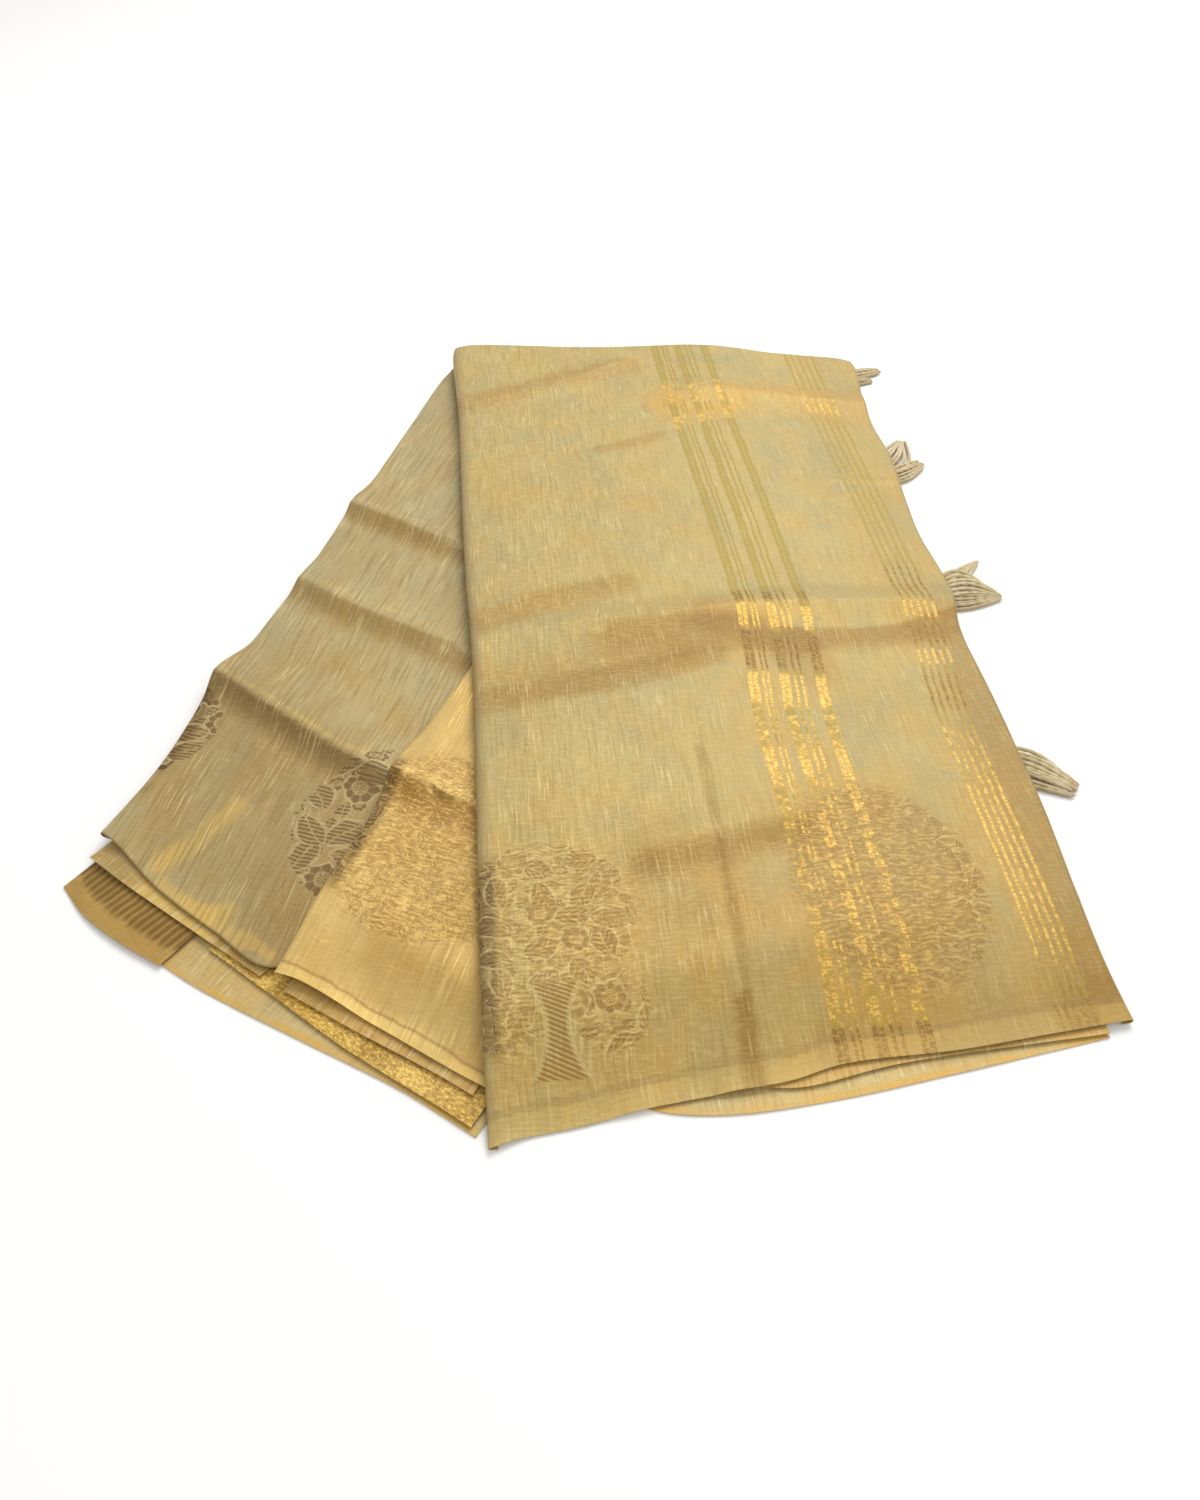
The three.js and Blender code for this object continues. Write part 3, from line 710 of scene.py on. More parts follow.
# The brocade's drawing. Leaves and rosettes are sized as shares of their cell, and the boughs
# and the trunk's place and length go by the crown's radius. Pitches, the waist and its flare
# are in metres. Sway and ragged are noises: how fine, and how far they move the drawing.
brocade = {
    "leafHalf": 0.34,
    "rib": (0.015, 0.04),
    "veins": (26, 34),
    "rosetteHalf": 0.42,
    "petals": 8,
    "petalDepth": 0.03,
    "outline": (-0.09, -0.04, 0.03, -0.01),
    "bigRosettes": 0.36,  # share of the cells that hold a rosette
    "smallRosettes": 0.2,
    "smallCells": 1.97,  # times as dense as the big ones
    "hatchPitch": 0.0021,
    "wobble": 0.007,  # of the crown's rim
    "sway": (75, 0.007),
    "ragged": (420, 0.002),
    "boughAside": 0.56,
    "boughDown": 1.2,
    "boughRadius": 0.43,
    "trunkDown": 1.36,
    "trunkHalf": 0.5,
    "waist": 0.0042,
    "flare": 0.028,
    "bark": (1500, 3400),
}


# One scatter of leaves and rosettes: a Voronoi cell holds each, turned its own way. A leaf is
# filled with the weave's hatching, or with its own veins where the brocade is worn; a rosette
# has petals round a paler heart.
def scatterLeaves(group, vector, hatch, density, rosettes, worn):
    rosettes = times(group, minus(group, 1.0, times(group, worn, 0.7)), rosettes)
    cells = put(group, "VectorMath", {0: vector, "Scale": density}, operation="SCALE").outputs[0]
    inputs = {"Vector": cells, "Scale": 1.0, "Randomness": 0.7}
    cell = put(group, "TexVoronoi", inputs, voronoi_dimensions="2D")
    away = onVector(group, "SUBTRACT", cells, cell.outputs["Position"])
    chance = put(group, "SeparateColor", {0: cell.outputs["Color"]}).outputs
    angle = times(group, chance[0], 2 * math.pi)
    turned = put(group, "VectorRotate", {"Vector": away, "Angle": angle}, rotation_type="Z_AXIS").outputs[0]
    ahead, aside, _ = apart(group, turned)
    fromRib = calc(group, "ABSOLUTE", aside)
    leaf = minus(group, minus(group, brocade["leafHalf"], times(group, ahead, ahead)), fromRib)
    alongRib, besideRib = brocade["veins"]
    veins = plus(group, times(group, ahead, alongRib), times(group, fromRib, besideRib))
    veins = spread(group, calc(group, "SINE", veins), -0.5, 0.3)
    fill = times(group, between(group, worn, hatch, veins), spread(group, fromRib, *brocade["rib"]))
    turn = calc(group, "ARCTAN2", aside, ahead)
    petals = calc(group, "COSINE", times(group, turn, brocade["petals"]))
    distance = cell.outputs["Distance"]
    rim = plus(group, brocade["rosetteHalf"], times(group, petals, brocade["petalDepth"]))
    rim = minus(group, rim, distance)
    outer = times(group, spread(group, distance, 0.2, 0.24), spread(group, petals, -0.95, -0.6, 0.45, 1))
    heart = times(group, spread(group, distance, 0.17, 0.14), spread(group, petals, 0.0, 0.6, 0.0, 0.7))
    bloom = times(group, plus(group, outer, heart), minus(group, 1.0, times(group, worn, 0.5)))
    isRosette = calc(group, "GREATER_THAN", chance[1], minus(group, 1.0, rosettes))
    depth = between(group, isRosette, leaf, rim)
    pattern = between(group, isRosette, fill, bloom)
    uneven = between(group, worn, 1.0, spread(group, chance[2], 0.1, 0.8, 0.45, 1.0))
    body = spread(group, depth, 0.0, 0.03)
    lineOuter, lineFull, lineInner, lineEnd = brocade["outline"]
    line = times(group, spread(group, depth, lineOuter, lineFull), spread(group, depth, lineInner, lineEnd))
    return times(group, body, times(group, pattern, uneven)), line, body


# Brocade tree: a crown of hatched leaves and rosettes, which can be taller than wide, over two
# low boughs and a waisted trunk. Worn blurs it, and Scatter deals its leaves anew.
def makeBrocadeTree():
    takes = ["Vector", "Centre", "Radius", "Density", "Worn", "Boughs", "Tall", "Scatter"]
    group, takenIn = newGroup("brocadeTree", takes, ["Thread", "Outline", "Crown", "Side", "Wave"])
    radius, density, worn = takenIn["Radius"], takenIn["Density"], takenIn["Worn"]
    fromCentre = onVector(group, "SUBTRACT", takenIn["Vector"], takenIn["Centre"])
    aside, above, _ = apart(group, fromCentre)
    fromAxis = calc(group, "ABSOLUTE", aside)
    wobble = mottle(group, stretched(group, fromCentre, 160, 160), detail=1)
    lowered = joined(group, aside, calc(group, "DIVIDE", above, takenIn["Tall"]))
    distance = put(group, "VectorMath", {0: lowered}, operation="LENGTH").outputs["Value"]
    inCrown = minus(group, radius, plus(group, distance, swing(group, wobble, brocade["wobble"])))
    fromBough = joined(
        group,
        minus(group, fromAxis, times(group, radius, brocade["boughAside"])),
        plus(group, above, times(group, radius, brocade["boughDown"])),
    )
    fromBough = put(group, "VectorMath", {0: fromBough}, operation="LENGTH").outputs["Value"]
    boughRadius = times(group, radius, brocade["boughRadius"], takenIn["Boughs"])
    inTree = calc(group, "MAXIMUM", inCrown, minus(group, boughRadius, fromBough))
    area = spread(group, inTree, 0.0, 0.0006)
    # Hatching along the weft, a little wavy
    swell = times(group, mottle(group, stretched(group, fromCentre, 130, 60), detail=1), 7)
    hatch = plus(group, times(group, above, 2 * math.pi / brocade["hatchPitch"]), swell)
    hatch = spread(group, calc(group, "SINE", hatch), -0.55, 0.25)
    swayed = onVector(group, "ADD", fromCentre, scattered(group, fromCentre, *brocade["sway"]))
    ragged = scattered(group, fromCentre, *brocade["ragged"])
    ragged = put(group, "VectorMath", {0: ragged, "Scale": worn}, operation="SCALE").outputs[0]
    flat = stretched(group, onVector(group, "ADD", swayed, ragged), 1, 1, 0)
    flat = onVector(group, "ADD", flat, joined(group, takenIn["Scatter"], takenIn["Scatter"]))
    smallDensity = times(group, density, brocade["smallCells"])
    bigThread, bigLine, bigBody = scatterLeaves(group, flat, hatch, density, brocade["bigRosettes"], worn)
    smallThread, smallLine, _ = scatterLeaves(
        group, flat, hatch, smallDensity, brocade["smallRosettes"], worn
    )
    beside = minus(group, 1.0, bigBody)
    thread = times(group, calc(group, "MAXIMUM", bigThread, times(group, smallThread, beside)), area)
    line = calc(group, "MAXIMUM", bigLine, times(group, smallLine, times(group, beside, 0.4)))
    # Trunk, between the boughs
    half = brocade["trunkHalf"]
    sink = plus(group, calc(group, "DIVIDE", above, radius), brocade["trunkDown"])
    waist = plus(group, times(group, sink, sink, brocade["flare"]), brocade["waist"])
    span = times(group, spread(group, sink, -half, 0.03 - half), spread(group, sink, half, half - 0.08))
    span = times(group, span, takenIn["Boughs"])
    fromRim = minus(group, fromAxis, waist)
    inTrunk = times(group, span, spread(group, fromRim, 0.0006, -0.0004))
    bark = plus(group, times(group, aside, brocade["bark"][0]), times(group, above, brocade["bark"][1]))
    bark = spread(group, calc(group, "SINE", bark), -0.6, 0.3)
    arcs = times(group, span, spread(group, calc(group, "ABSOLUTE", fromRim), 0.0014, 0.0006))
    notTrunk = minus(group, 1.0, inTrunk)
    # Raised threads seen from the side: short wavy flecks along the weft, which addTree paints as
    # glints and shade
    waved = mottle(group, stretched(group, flat, 230, 800), detail=2, roughness=0.55)
    return finishGroup(group, {
        "Thread": plus(group, times(group, thread, notTrunk), times(group, inTrunk, bark)),
        "Outline": calc(group, "MAXIMUM", times(group, line, area, notTrunk), arcs),
        "Crown": spread(group, inTree, -0.006, 0.005),
        "Side": calc(group, "DIVIDE", aside, radius),
        "Wave": waved,
    })


# Metallic stripes: a constant ramp across the cloth, a pair of stops for each woven line
def makeZariStripes(name, lines):
    group, takenIn = newGroup(name, ["Across"], ["Stripe"])
    ramp = put(group, "ValToRGB", {0: takenIn["Across"]})
    ramp.color_ramp.interpolation = "CONSTANT"
    stops = ramp.color_ramp.elements
    stops[0].position, stops[0].color = 0.0, (0, 0, 0, 1)
    stops[1].position, stops[1].color = 1.0, (0, 0, 0, 1)
    for start, end in lines:
        stops.new(start).color = (1, 1, 1, 1)
        stops.new(end).color = (0, 0, 0, 1)
    stripe = put(group, "SeparateColor", {0: ramp.outputs["Color"]}).outputs[0]
    return finishGroup(group, {"Stripe": stripe})


stripeTables = {  # where each line starts and ends, as shares of the group of lines
    "wide": [
        (0.0, 0.062), (0.072, 0.13), (0.185, 0.215), (0.25, 0.28), (0.405, 0.462),
        (0.472, 0.53), (0.585, 0.62), (0.67, 0.705), (0.86, 0.925), (0.935, 1.0),
    ],
    "thin": [(0.02, 0.11), (0.235, 0.32), (0.45, 0.54), (0.67, 0.755), (0.885, 0.98)],
}
tissueWeave = makeTissueWeave()
brocadeTree = makeBrocadeTree()
wideStripes = makeZariStripes("wideStripes", stripeTables["wide"])
thinStripes = makeZariStripes("thinStripes", stripeTables["thin"])
print("weaves made")

# Several dyes colour painted light: gold is the tissue's painted sheen, glow and brightGold are painted
# highlights and glints, and the grey slate and the umber are painted shade at the folds
dyes = {
    "gold": tint(190, 150, 70),
    "glow": tint(216, 180, 98),
    "brightGold": tint(234, 192, 96),
    "olive": tint(162, 139, 56),
    "brown": tint(142, 106, 48),
    "umber": tint(96, 70, 30),
    "cream": tint(216, 198, 136),
    "foldShadeSlate": tint(148, 128, 88),
}


# What every cloth shares: its ground colour with slubs, and the painted gold sheen, highlights and
# shade of its creases and folds
def startCloth(name, ground):
    material, tree = newMaterial(name)
    flat = put(tree, "UVMap", uv_map="UVMap").outputs[0]
    across, along, _ = apart(tree, flat)
    weave = useGroup(tree, tissueWeave, {"Vector": stretched(tree, flat, 1, ground["run"])})
    gold, dark, shine = apart(tree, attributeOf(tree, "lightShadeLook", "Vector"))
    colour = blend(tree, weave["Cloud"], ground["base"], ground["cloud"])
    colour = blend(tree, times(tree, weave["Warmth"], ground["warmth"]), colour, ground["warm"])
    # The painted sheen, highlights and shade are uneven and streaked, as the weave is
    uneven = spread(tree, weave["Warmth"], 0, 1, 0.75, 1.15)
    streaks = times(tree, minus(tree, weave["Fleck"], weave["Slub"]), 0.2)
    # Painted gold sheen, where the tissue's gold weft catches the light on some slopes
    colour = blend(tree, times(tree, gold, uneven), colour, dyes["gold"])
    # Painted highlight
    shines = times(tree, spread(tree, plus(tree, shine, streaks), 0.12, 0.88), uneven)
    colour = blend(tree, shines, colour, ground.get("glow", dyes["glow"]))
    # Painted shade in the creases and on slopes that face away from the light
    colour = blend(tree, minus(tree, dark, times(tree, streaks, dark)), colour, ground["shade"])
    # Threads show less in the shade, and less towards one side where the ground says so
    inLight = minus(tree, 1.0, times(tree, dark, 0.4))
    if "fades" in ground:
        start, end, low = ground["fades"]
        inLight = times(tree, inLight, spread(tree, across, start, end, 1, low))
    for thread in ("slub", "pick", "fleck"):
        amount = times(tree, weave[thread.title()], ground[thread], inLight)
        colour = blend(tree, amount, colour, ground[thread + "Colour"])
    return {
        "material": material,
        "tree": tree,
        "flat": flat,
        "across": across,
        "along": along,
        "weave": weave,
        "colour": colour,
        "height": weave["Height"],
        "metal": times(tree, shine, 0.2),
        "fromHem": attributeOf(tree, "fromHem"),
        "fromFold": attributeOf(tree, "fromFold"),
    }


def dye(cloth, amount, colour):
    cloth["colour"] = blend(cloth["tree"], amount, cloth["colour"], colour)


def finishCloth(cloth, finish):
    tree = cloth["tree"]
    relief = {"Height": cloth["height"], "Strength": finish["bump"], "Distance": 0.001}
    shader = setShader(tree, cloth["colour"], relief, {
        "Roughness": finish["roughness"], "Specular IOR Level": 0.3,
        "Sheen Weight": finish["sheen"], "Sheen Roughness": 0.45,
    })
    tree.links.new(plus(tree, cloth["metal"], finish["metal"]), shader.inputs["Metallic"])
    return cloth["material"]


# A woven tree. Its threads show by the row's amount, more so where the cloth turns over a fold,
# where they and the crown are darkened to umber as painted shade, and, where the row says so, at
# its right rim. Bright and dark flecks are painted glints and shade that make it look like raised
# threads, and bed darkens the crown under them.
def addTree(cloth, piece, row, threadColour, outlineColour):
    tree = cloth["tree"]
    motif = useGroup(tree, brocadeTree, {
        "Vector": cloth["flat"], "Centre": (*flatPlace(row["x"], row["y"], piece["grain"]), 0),
        "Radius": row["radius"], "Density": row["density"], "Worn": row["worn"],
        "Boughs": row["boughs"], "Tall": row.get("tall", 1.0), "Scatter": row["scatter"],
    })
    # Painted shade where the cloth turns over the left fold
    foldShade = spread(tree, cloth["fromFold"], 0.0065, 0.0025)
    strength = spread(tree, motif["Side"], 0.55, 0.85, row["amount"], row.get("rim", row["amount"]))
    strength = calc(tree, "MAXIMUM", strength, foldShade)
    flecks = times(tree, motif["Crown"], row["flecks"])
    dye(cloth, times(tree, motif["Crown"], row.get("bed", 0.0)), row["dark"])
    # Painted glints and shade on the raised threads
    dye(cloth, times(tree, flecks, spread(tree, motif["Wave"], 0.5, 0.62)), row["bright"])
    dye(cloth, times(tree, flecks, spread(tree, motif["Wave"], 0.49, 0.38)), row["dark"])
    dye(cloth, times(tree, foldShade, motif["Crown"], 0.6), dyes["umber"])
    threadColour = blend(tree, foldShade, threadColour, dyes["umber"])
    dye(cloth, times(tree, motif["Thread"], strength), threadColour)
    patchy = spread(tree, motif["Wave"], 0.38, 0.58, 1 - 0.7 * row["worn"], 1.0)
    dye(cloth, times(tree, motif["Outline"], times(tree, strength, row["outline"]), patchy), outlineColour)
    relief = plus(tree, times(tree, motif["Wave"], flecks, 1.5), times(tree, motif["Thread"], 0.3))
    cloth["height"] = plus(tree, cloth["height"], relief)
    return motif["Crown"]


# A dark line beside the hem, painted shade where the hem turns under, with a paler lip outside it
# painted as the light on the turned edge
def addHemShading(cloth, row):
    tree, warmth = cloth["tree"], cloth["weave"]["Warmth"]
    fromHem = plus(tree, cloth["fromHem"], swing(tree, warmth, 0.0012))
    start, end = row["line"]
    inner = spread(tree, fromHem, end, end - 0.0014)
    outer = spread(tree, fromHem, start - 0.0008, start)
    dye(cloth, times(tree, inner, outer, row["shadeLineAmount"]), row["shadeLineColour"])
    lip = times(tree, spread(tree, fromHem, start, start - 0.002), row["lip"])
    dye(cloth, times(tree, lip, spread(tree, warmth, 0, 1, 0.55, 1.1)), row["lipHighlightColour"])


# Pallu: the end piece on top
pallu = {
    "name": "palluTop",
    "replaces": "pallu_top",
    "slot": "pallu_cloth",
    "edges": palluEdges,
    "columns": 118,
    "rows": 300,
    "folds": ("left", "far", "right"),
    "roll": palluRollRadius,
    "height": palluTop,
    "grain": 6.0,
    "flat": (0.27, 0.57),
    "restsOn": ["foldedPile"],
    "ground": {
        "base": tint(180, 161, 102), "cloud": tint(166, 153, 105), "warm": tint(186, 157, 90),
        "warmth": 0.7,
        "run": 1.0, "slub": 0.48, "slubColour": tint(152, 124, 66), "pick": 0.42,
        "pickColour": tint(206, 184, 122),
        "fleck": 0.46, "fleckColour": tint(220, 200, 140), "shade": tint(148, 114, 50),
        "fades": (0.0, 0.08, 0.6),
    },
    # Painted shade, gold sheen and highlights along the creases and folds
    "paintedLightAndShade": [
        {
            "line": [(-86, 199), (-59, 213), (-21, 233), (23, 252)],
            "near": 17, "far": 14, "core": 0.3, "gold": 0.5, "dark": 0.4,
        },
        {
            "line": [(-60, -16), (-26, 4), (17, 20)],
            "near": 15, "far": 14, "core": 0.2, "gold": 0.5, "dark": 0.5,
        },
        {
            "line": [(14, -20), (50, -14), (76, -13), (100, -20)],
            "near": 24, "far": 12, "core": 0.2, "gold": 0.4, "dark": 0.6,
        },
        {
            "line": [(-55, -74), (-23, -66), (20, -52), (60, -36)],
            "near": 12, "far": 16, "core": 0.3, "gold": 0.4, "dark": 0.6,
        },
        {"line": [(-55, -54), (0, -42), (40, -30)], "near": 20, "far": 18, "gold": 0.45, "dark": 0.36},
        {
            "line": [(94, -17), (133, -13), (160, -7), (178, 2), (196, 8)],
            "near": 20, "far": 4, "core": 0.3, "gold": 0.45, "dark": 0.72,
        },
        {"line": [(62, -8), (104, -30), (110, -44)], "near": 20, "core": 0.3, "gold": 0.3, "dark": 0.35},
        {
            "line": [(66, 3), (100, 2), (190, 12)],
            "near": 16, "far": 4, "core": 0.5, "gold": 0.25, "shine": 0.28,
        },
        {"line": [(24, -168), (56, -160), (92, -148)], "near": 16, "far": 12, "gold": 0.4, "dark": 0.7},
        {"line": [(20, -196), (60, -188)], "near": 30, "gold": 0.3, "dark": 0.2},
        {"line": [(50, -100), (53, -130), (59, -190), (62, -228)], "near": 3, "dark": 0.42},
        {"line": [(60, -232), (63, -262)], "near": 7, "core": 0.2, "gold": 0.3, "dark": 0.8},
        {
            "line": [(54, 212), (109, 214), (186, 218)],
            "near": 27, "far": 25, "core": 0.5, "gold": 0.45, "shine": 0.15,
        },
        {"line": [(48, 198), (86, 208)], "near": 22, "far": 26, "core": 0.2, "gold": 0.35, "shine": 0.22},
        {"line": [(5, 149), (32, 160), (42, 165)], "near": 7, "gold": 0.3, "dark": 0.5},
        {"line": [(-20, 58), (20, 66)], "near": 12, "gold": 0.25},
        {"line": [(78, -6), (84, -60), (104, -150), (112, -236)], "near": 24, "core": 0.4, "gold": 0.28},
        {"line": [(-75, 100), (-30, 108), (30, 92)], "near": 16, "gold": 0.3},
        {"line": [(143, 127), (179, 130)], "near": 7, "gold": 0.3, "shine": 0.3},
        {
            "line": [(-40, -264), (40, -245), (120, -232), (205, -220)],
            "near": 60, "gold": 0.32, "dark": 0.08,
        },
        {"line": [(-30, -190), (40, -190), (190, -150)], "near": 95, "gold": 0.34, "dark": 0.14},
        {"line": [(-22, -120), (50, -112)], "near": 26, "shine": 0.12},
        {
            "line": [(100, -246), (150, -236), (208, -226)],
            "near": 24, "core": 0.2, "gold": 0.1, "dark": 0.38,
        },
        {"line": [(195, -10), (202, -110), (208, -230)], "near": 34, "core": 0.3, "dark": 0.52},
        {"line": [(176, 270), (184, 140), (192, 20)], "near": 62, "core": 0.3, "gold": 0.08, "dark": 0.17},
        {"line": [(130, -70), (186, -60), (196, -100)], "near": 34, "gold": 0.1, "dark": 0.14},
    ],
    # Painted highlights and shade on the stripes' threads
    "threadPaintedLightAndShade": [  # the same for the metallic stripes, whose threads turn bright or dark at once
        {"line": [(36, 216), (92, 224), (152, 218)], "near": 24, "far": 22, "core": 0.4, "shine": 0.58},
        {"line": [(40, 176), (92, 198), (100, 198)], "near": 11, "far": 12, "core": 0.3, "shine": 0.6},
        {"line": [(132, 200), (156, 200)], "near": 14, "core": 0.5, "shine": 0.3},
        {"line": [(132, 131), (156, 131)], "near": 7, "shine": 0.6},
        {"line": [(66, 7), (118, 8)], "near": 8, "far": 13, "core": 0.2, "dark": 0.55},
        {"line": [(66, -7), (118, -6)], "near": 11, "core": 0.5, "shine": 0.85},
        {"line": [(66, -31), (118, -32)], "near": 20, "core": 0.55, "dark": 0.58},
        {"line": [(66, -54), (124, -53)], "near": 20, "far": 8, "core": 0.3, "shine": 0.82},
        {"line": [(66, -84), (130, -82)], "near": 34, "core": 0.5, "shine": 0.5},
        {"line": [(78, -112), (130, -108)], "near": 15, "core": 0.2, "shine": 0.45},
        {"line": [(78, -160), (132, -160)], "near": 60, "core": 0.5, "shine": 0.48},
        {"line": [(86, -222), (134, -218)], "near": 24, "core": 0.5, "shine": 0.6},
        {"line": [(80, -248), (140, -242)], "near": 14, "far": 10, "core": 0.5, "dark": 0.85},
        {"line": [(152, 30), (184, 28)], "near": 24, "far": 30, "core": 0.4, "dark": 0.52},
        {"line": [(152, 6), (184, 8)], "near": 8, "core": 0.5, "shine": 0.95},
        {"line": [(152, -12), (184, -10)], "near": 11, "core": 0.6, "dark": 0.6},
        {"line": [(152, -29), (186, -28)], "near": 9, "core": 0.4, "shine": 0.8},
        {"line": [(154, -54), (188, -54)], "near": 22, "core": 0.4, "dark": 0.52},
        {"line": [(150, -92), (192, -92)], "near": 24, "core": 0.3, "shine": 0.55},
        {"line": [(154, -160), (200, -160)], "near": 64, "core": 0.6, "shine": 0.7},
        {"line": [(160, -238), (204, -232)], "near": 11, "core": 0.5, "dark": 0.6},
    ],
    "stripes": {  # places on the flat cloth, in metres
        "wide": (0.068, 0.107), "thinFrom": 0.157, "thinWidth": (0.016, 0.021), "thinSpan": (-0.25, 0.28),
        "nudge": 0.006, "nudgeNear": (-0.1, -0.01), "nudgeFar": (0.26, 0.004), "waver": 0.0016,
        # gold is the threads' painted sheen, dark their painted shade and glint the painted glints in it
        "gold": tint(186, 146, 64), "dark": tint(122, 87, 24), "glint": tint(190, 148, 66),
    },
    "trees": [
        {
            "x": -16, "y": -194, "radius": 0.0365, "amount": 0.85, "flecks": 0.55, "outline": 0.42,
            "density": 72, "worn": 0.5, "boughs": 1, "scatter": 0.3,
            "bright": tint(222, 190, 112), "dark": tint(160, 122, 60),
        },
        {
            "x": 125, "y": -173, "radius": 0.041, "amount": 0.36, "rim": 0.9, "flecks": 0.45,
            "outline": 0.4,
            "density": 76, "worn": 0.7, "boughs": 0, "tall": 1.28, "scatter": 0.5,
            "bright": tint(224, 188, 104), "dark": tint(150, 112, 50), "bed": 0.32,
        },
    ],
    # Painted shade line and highlighted lip along the near hem
    "hemShading": {
        "line": (0.0095, 0.0128), "shadeLineColour": tint(150, 122, 68), "shadeLineAmount": 0.3,
        "lip": 0.26, "lipHighlightColour": tint(216, 182, 102),
    },
    "finish": {"metal": 0.15, "roughness": 0.52, "sheen": 0.06, "bump": 0.32},
}


# The stripes waver, and step aside a little over the crest
def stripesOn(cloth, stripes):
    tree, along = cloth["tree"], cloth["along"]
    waver = swing(tree, mottle(tree, stretched(tree, cloth["flat"], 30, 130)), stripes["waver"])
    overCrest = times(
        tree, spread(tree, along, *stripes["nudgeNear"]), spread(tree, along, *stripes["nudgeFar"])
    )
    waver = minus(tree, waver, times(tree, overCrest, stripes["nudge"]))
    across = plus(tree, cloth["across"], waver)
    wideFrom, wideTo = stripes["wide"]
    wideShare = calc(tree, "DIVIDE", minus(tree, across, wideFrom), wideTo - wideFrom)
    thinWidth = spread(tree, along, *stripes["thinSpan"], *stripes["thinWidth"])
    thinShare = calc(tree, "DIVIDE", minus(tree, across, stripes["thinFrom"]), thinWidth)
    wide = useGroup(tree, wideStripes, {"Across": wideShare})["Stripe"]
    thin = useGroup(tree, thinStripes, {"Across": thinShare})["Stripe"]
    return calc(tree, "MAXIMUM", wide, times(tree, thin, 0.85))


# Olive thread with painted light and shade: painted gold sheen, then bright glints, where it faces
# the light, and painted dark brown shade on a slope that faces away
def stripeThread(cloth, stripes, patchy):
    tree = cloth["tree"]
    _, dark, shine = apart(tree, attributeOf(tree, "threadLightShadeLook", "Vector"))
    shine = spread(tree, plus(tree, shine, patchy), 0.25, 0.8)
    dark = spread(tree, minus(tree, dark, times(tree, patchy, 0.7)), 0.22, 0.7)
    flecks = mottle(tree, stretched(tree, cloth["flat"], 420, 900), detail=2, roughness=0.6)
    thread = blend(tree, shine, dyes["olive"], stripes["gold"])
    bright = spread(tree, plus(tree, flecks, times(tree, shine, 0.12)), 0.55, 0.68)
    thread = blend(tree, times(tree, bright, shine), thread, dyes["brightGold"])
    thread = blend(tree, dark, thread, stripes["dark"])
    # Painted glints in that shade
    glints = times(tree, spread(tree, flecks, 0.52, 0.6), times(tree, dark, 0.85))
    return blend(tree, glints, thread, stripes["glint"]), shine


def palluMaterial():
    cloth = startCloth("palluTissue", pallu["ground"])
    tree, weave, stripes = cloth["tree"], cloth["weave"], pallu["stripes"]
    # Painted shade along the left fold and round its roll
    dye(cloth, times(tree, spread(tree, cloth["fromFold"], 0.0045, -0.001), 0.55), dyes["foldShadeSlate"])
    crowns = [addTree(cloth, pallu, row, dyes["brown"], dyes["cream"]) for row in pallu["trees"]]
    patchy = mottle(tree, stretched(tree, cloth["flat"], 190, 240), detail=3, roughness=0.6)
    patchy = swing(tree, patchy, 1.7)
    thread, shine = stripeThread(cloth, stripes, patchy)
    # The stripes come and go inside the woven tree that they cross, and under the weave's threads
    hidden = times(tree, crowns[1], spread(tree, patchy, 0.12, -0.1, 0, 0.85))
    stripe = times(tree, stripesOn(cloth, stripes), minus(tree, 0.88, hidden))
    crossed = calc(tree, "MAXIMUM", weave["Pick"], times(tree, weave["Fleck"], 0.8))
    stripe = times(tree, stripe, spread(tree, crossed, 0, 1, 1, 0.68))
    dye(cloth, stripe, thread)
    cloth["metal"] = calc(tree, "MAXIMUM", cloth["metal"], times(tree, stripe, times(tree, shine, 0.3)))
    cloth["height"] = plus(tree, cloth["height"], times(tree, stripe, 0.3))
    addHemShading(cloth, pallu["hemShading"])
    return finishCloth(cloth, pallu["finish"])


pallu["material"] = palluMaterial

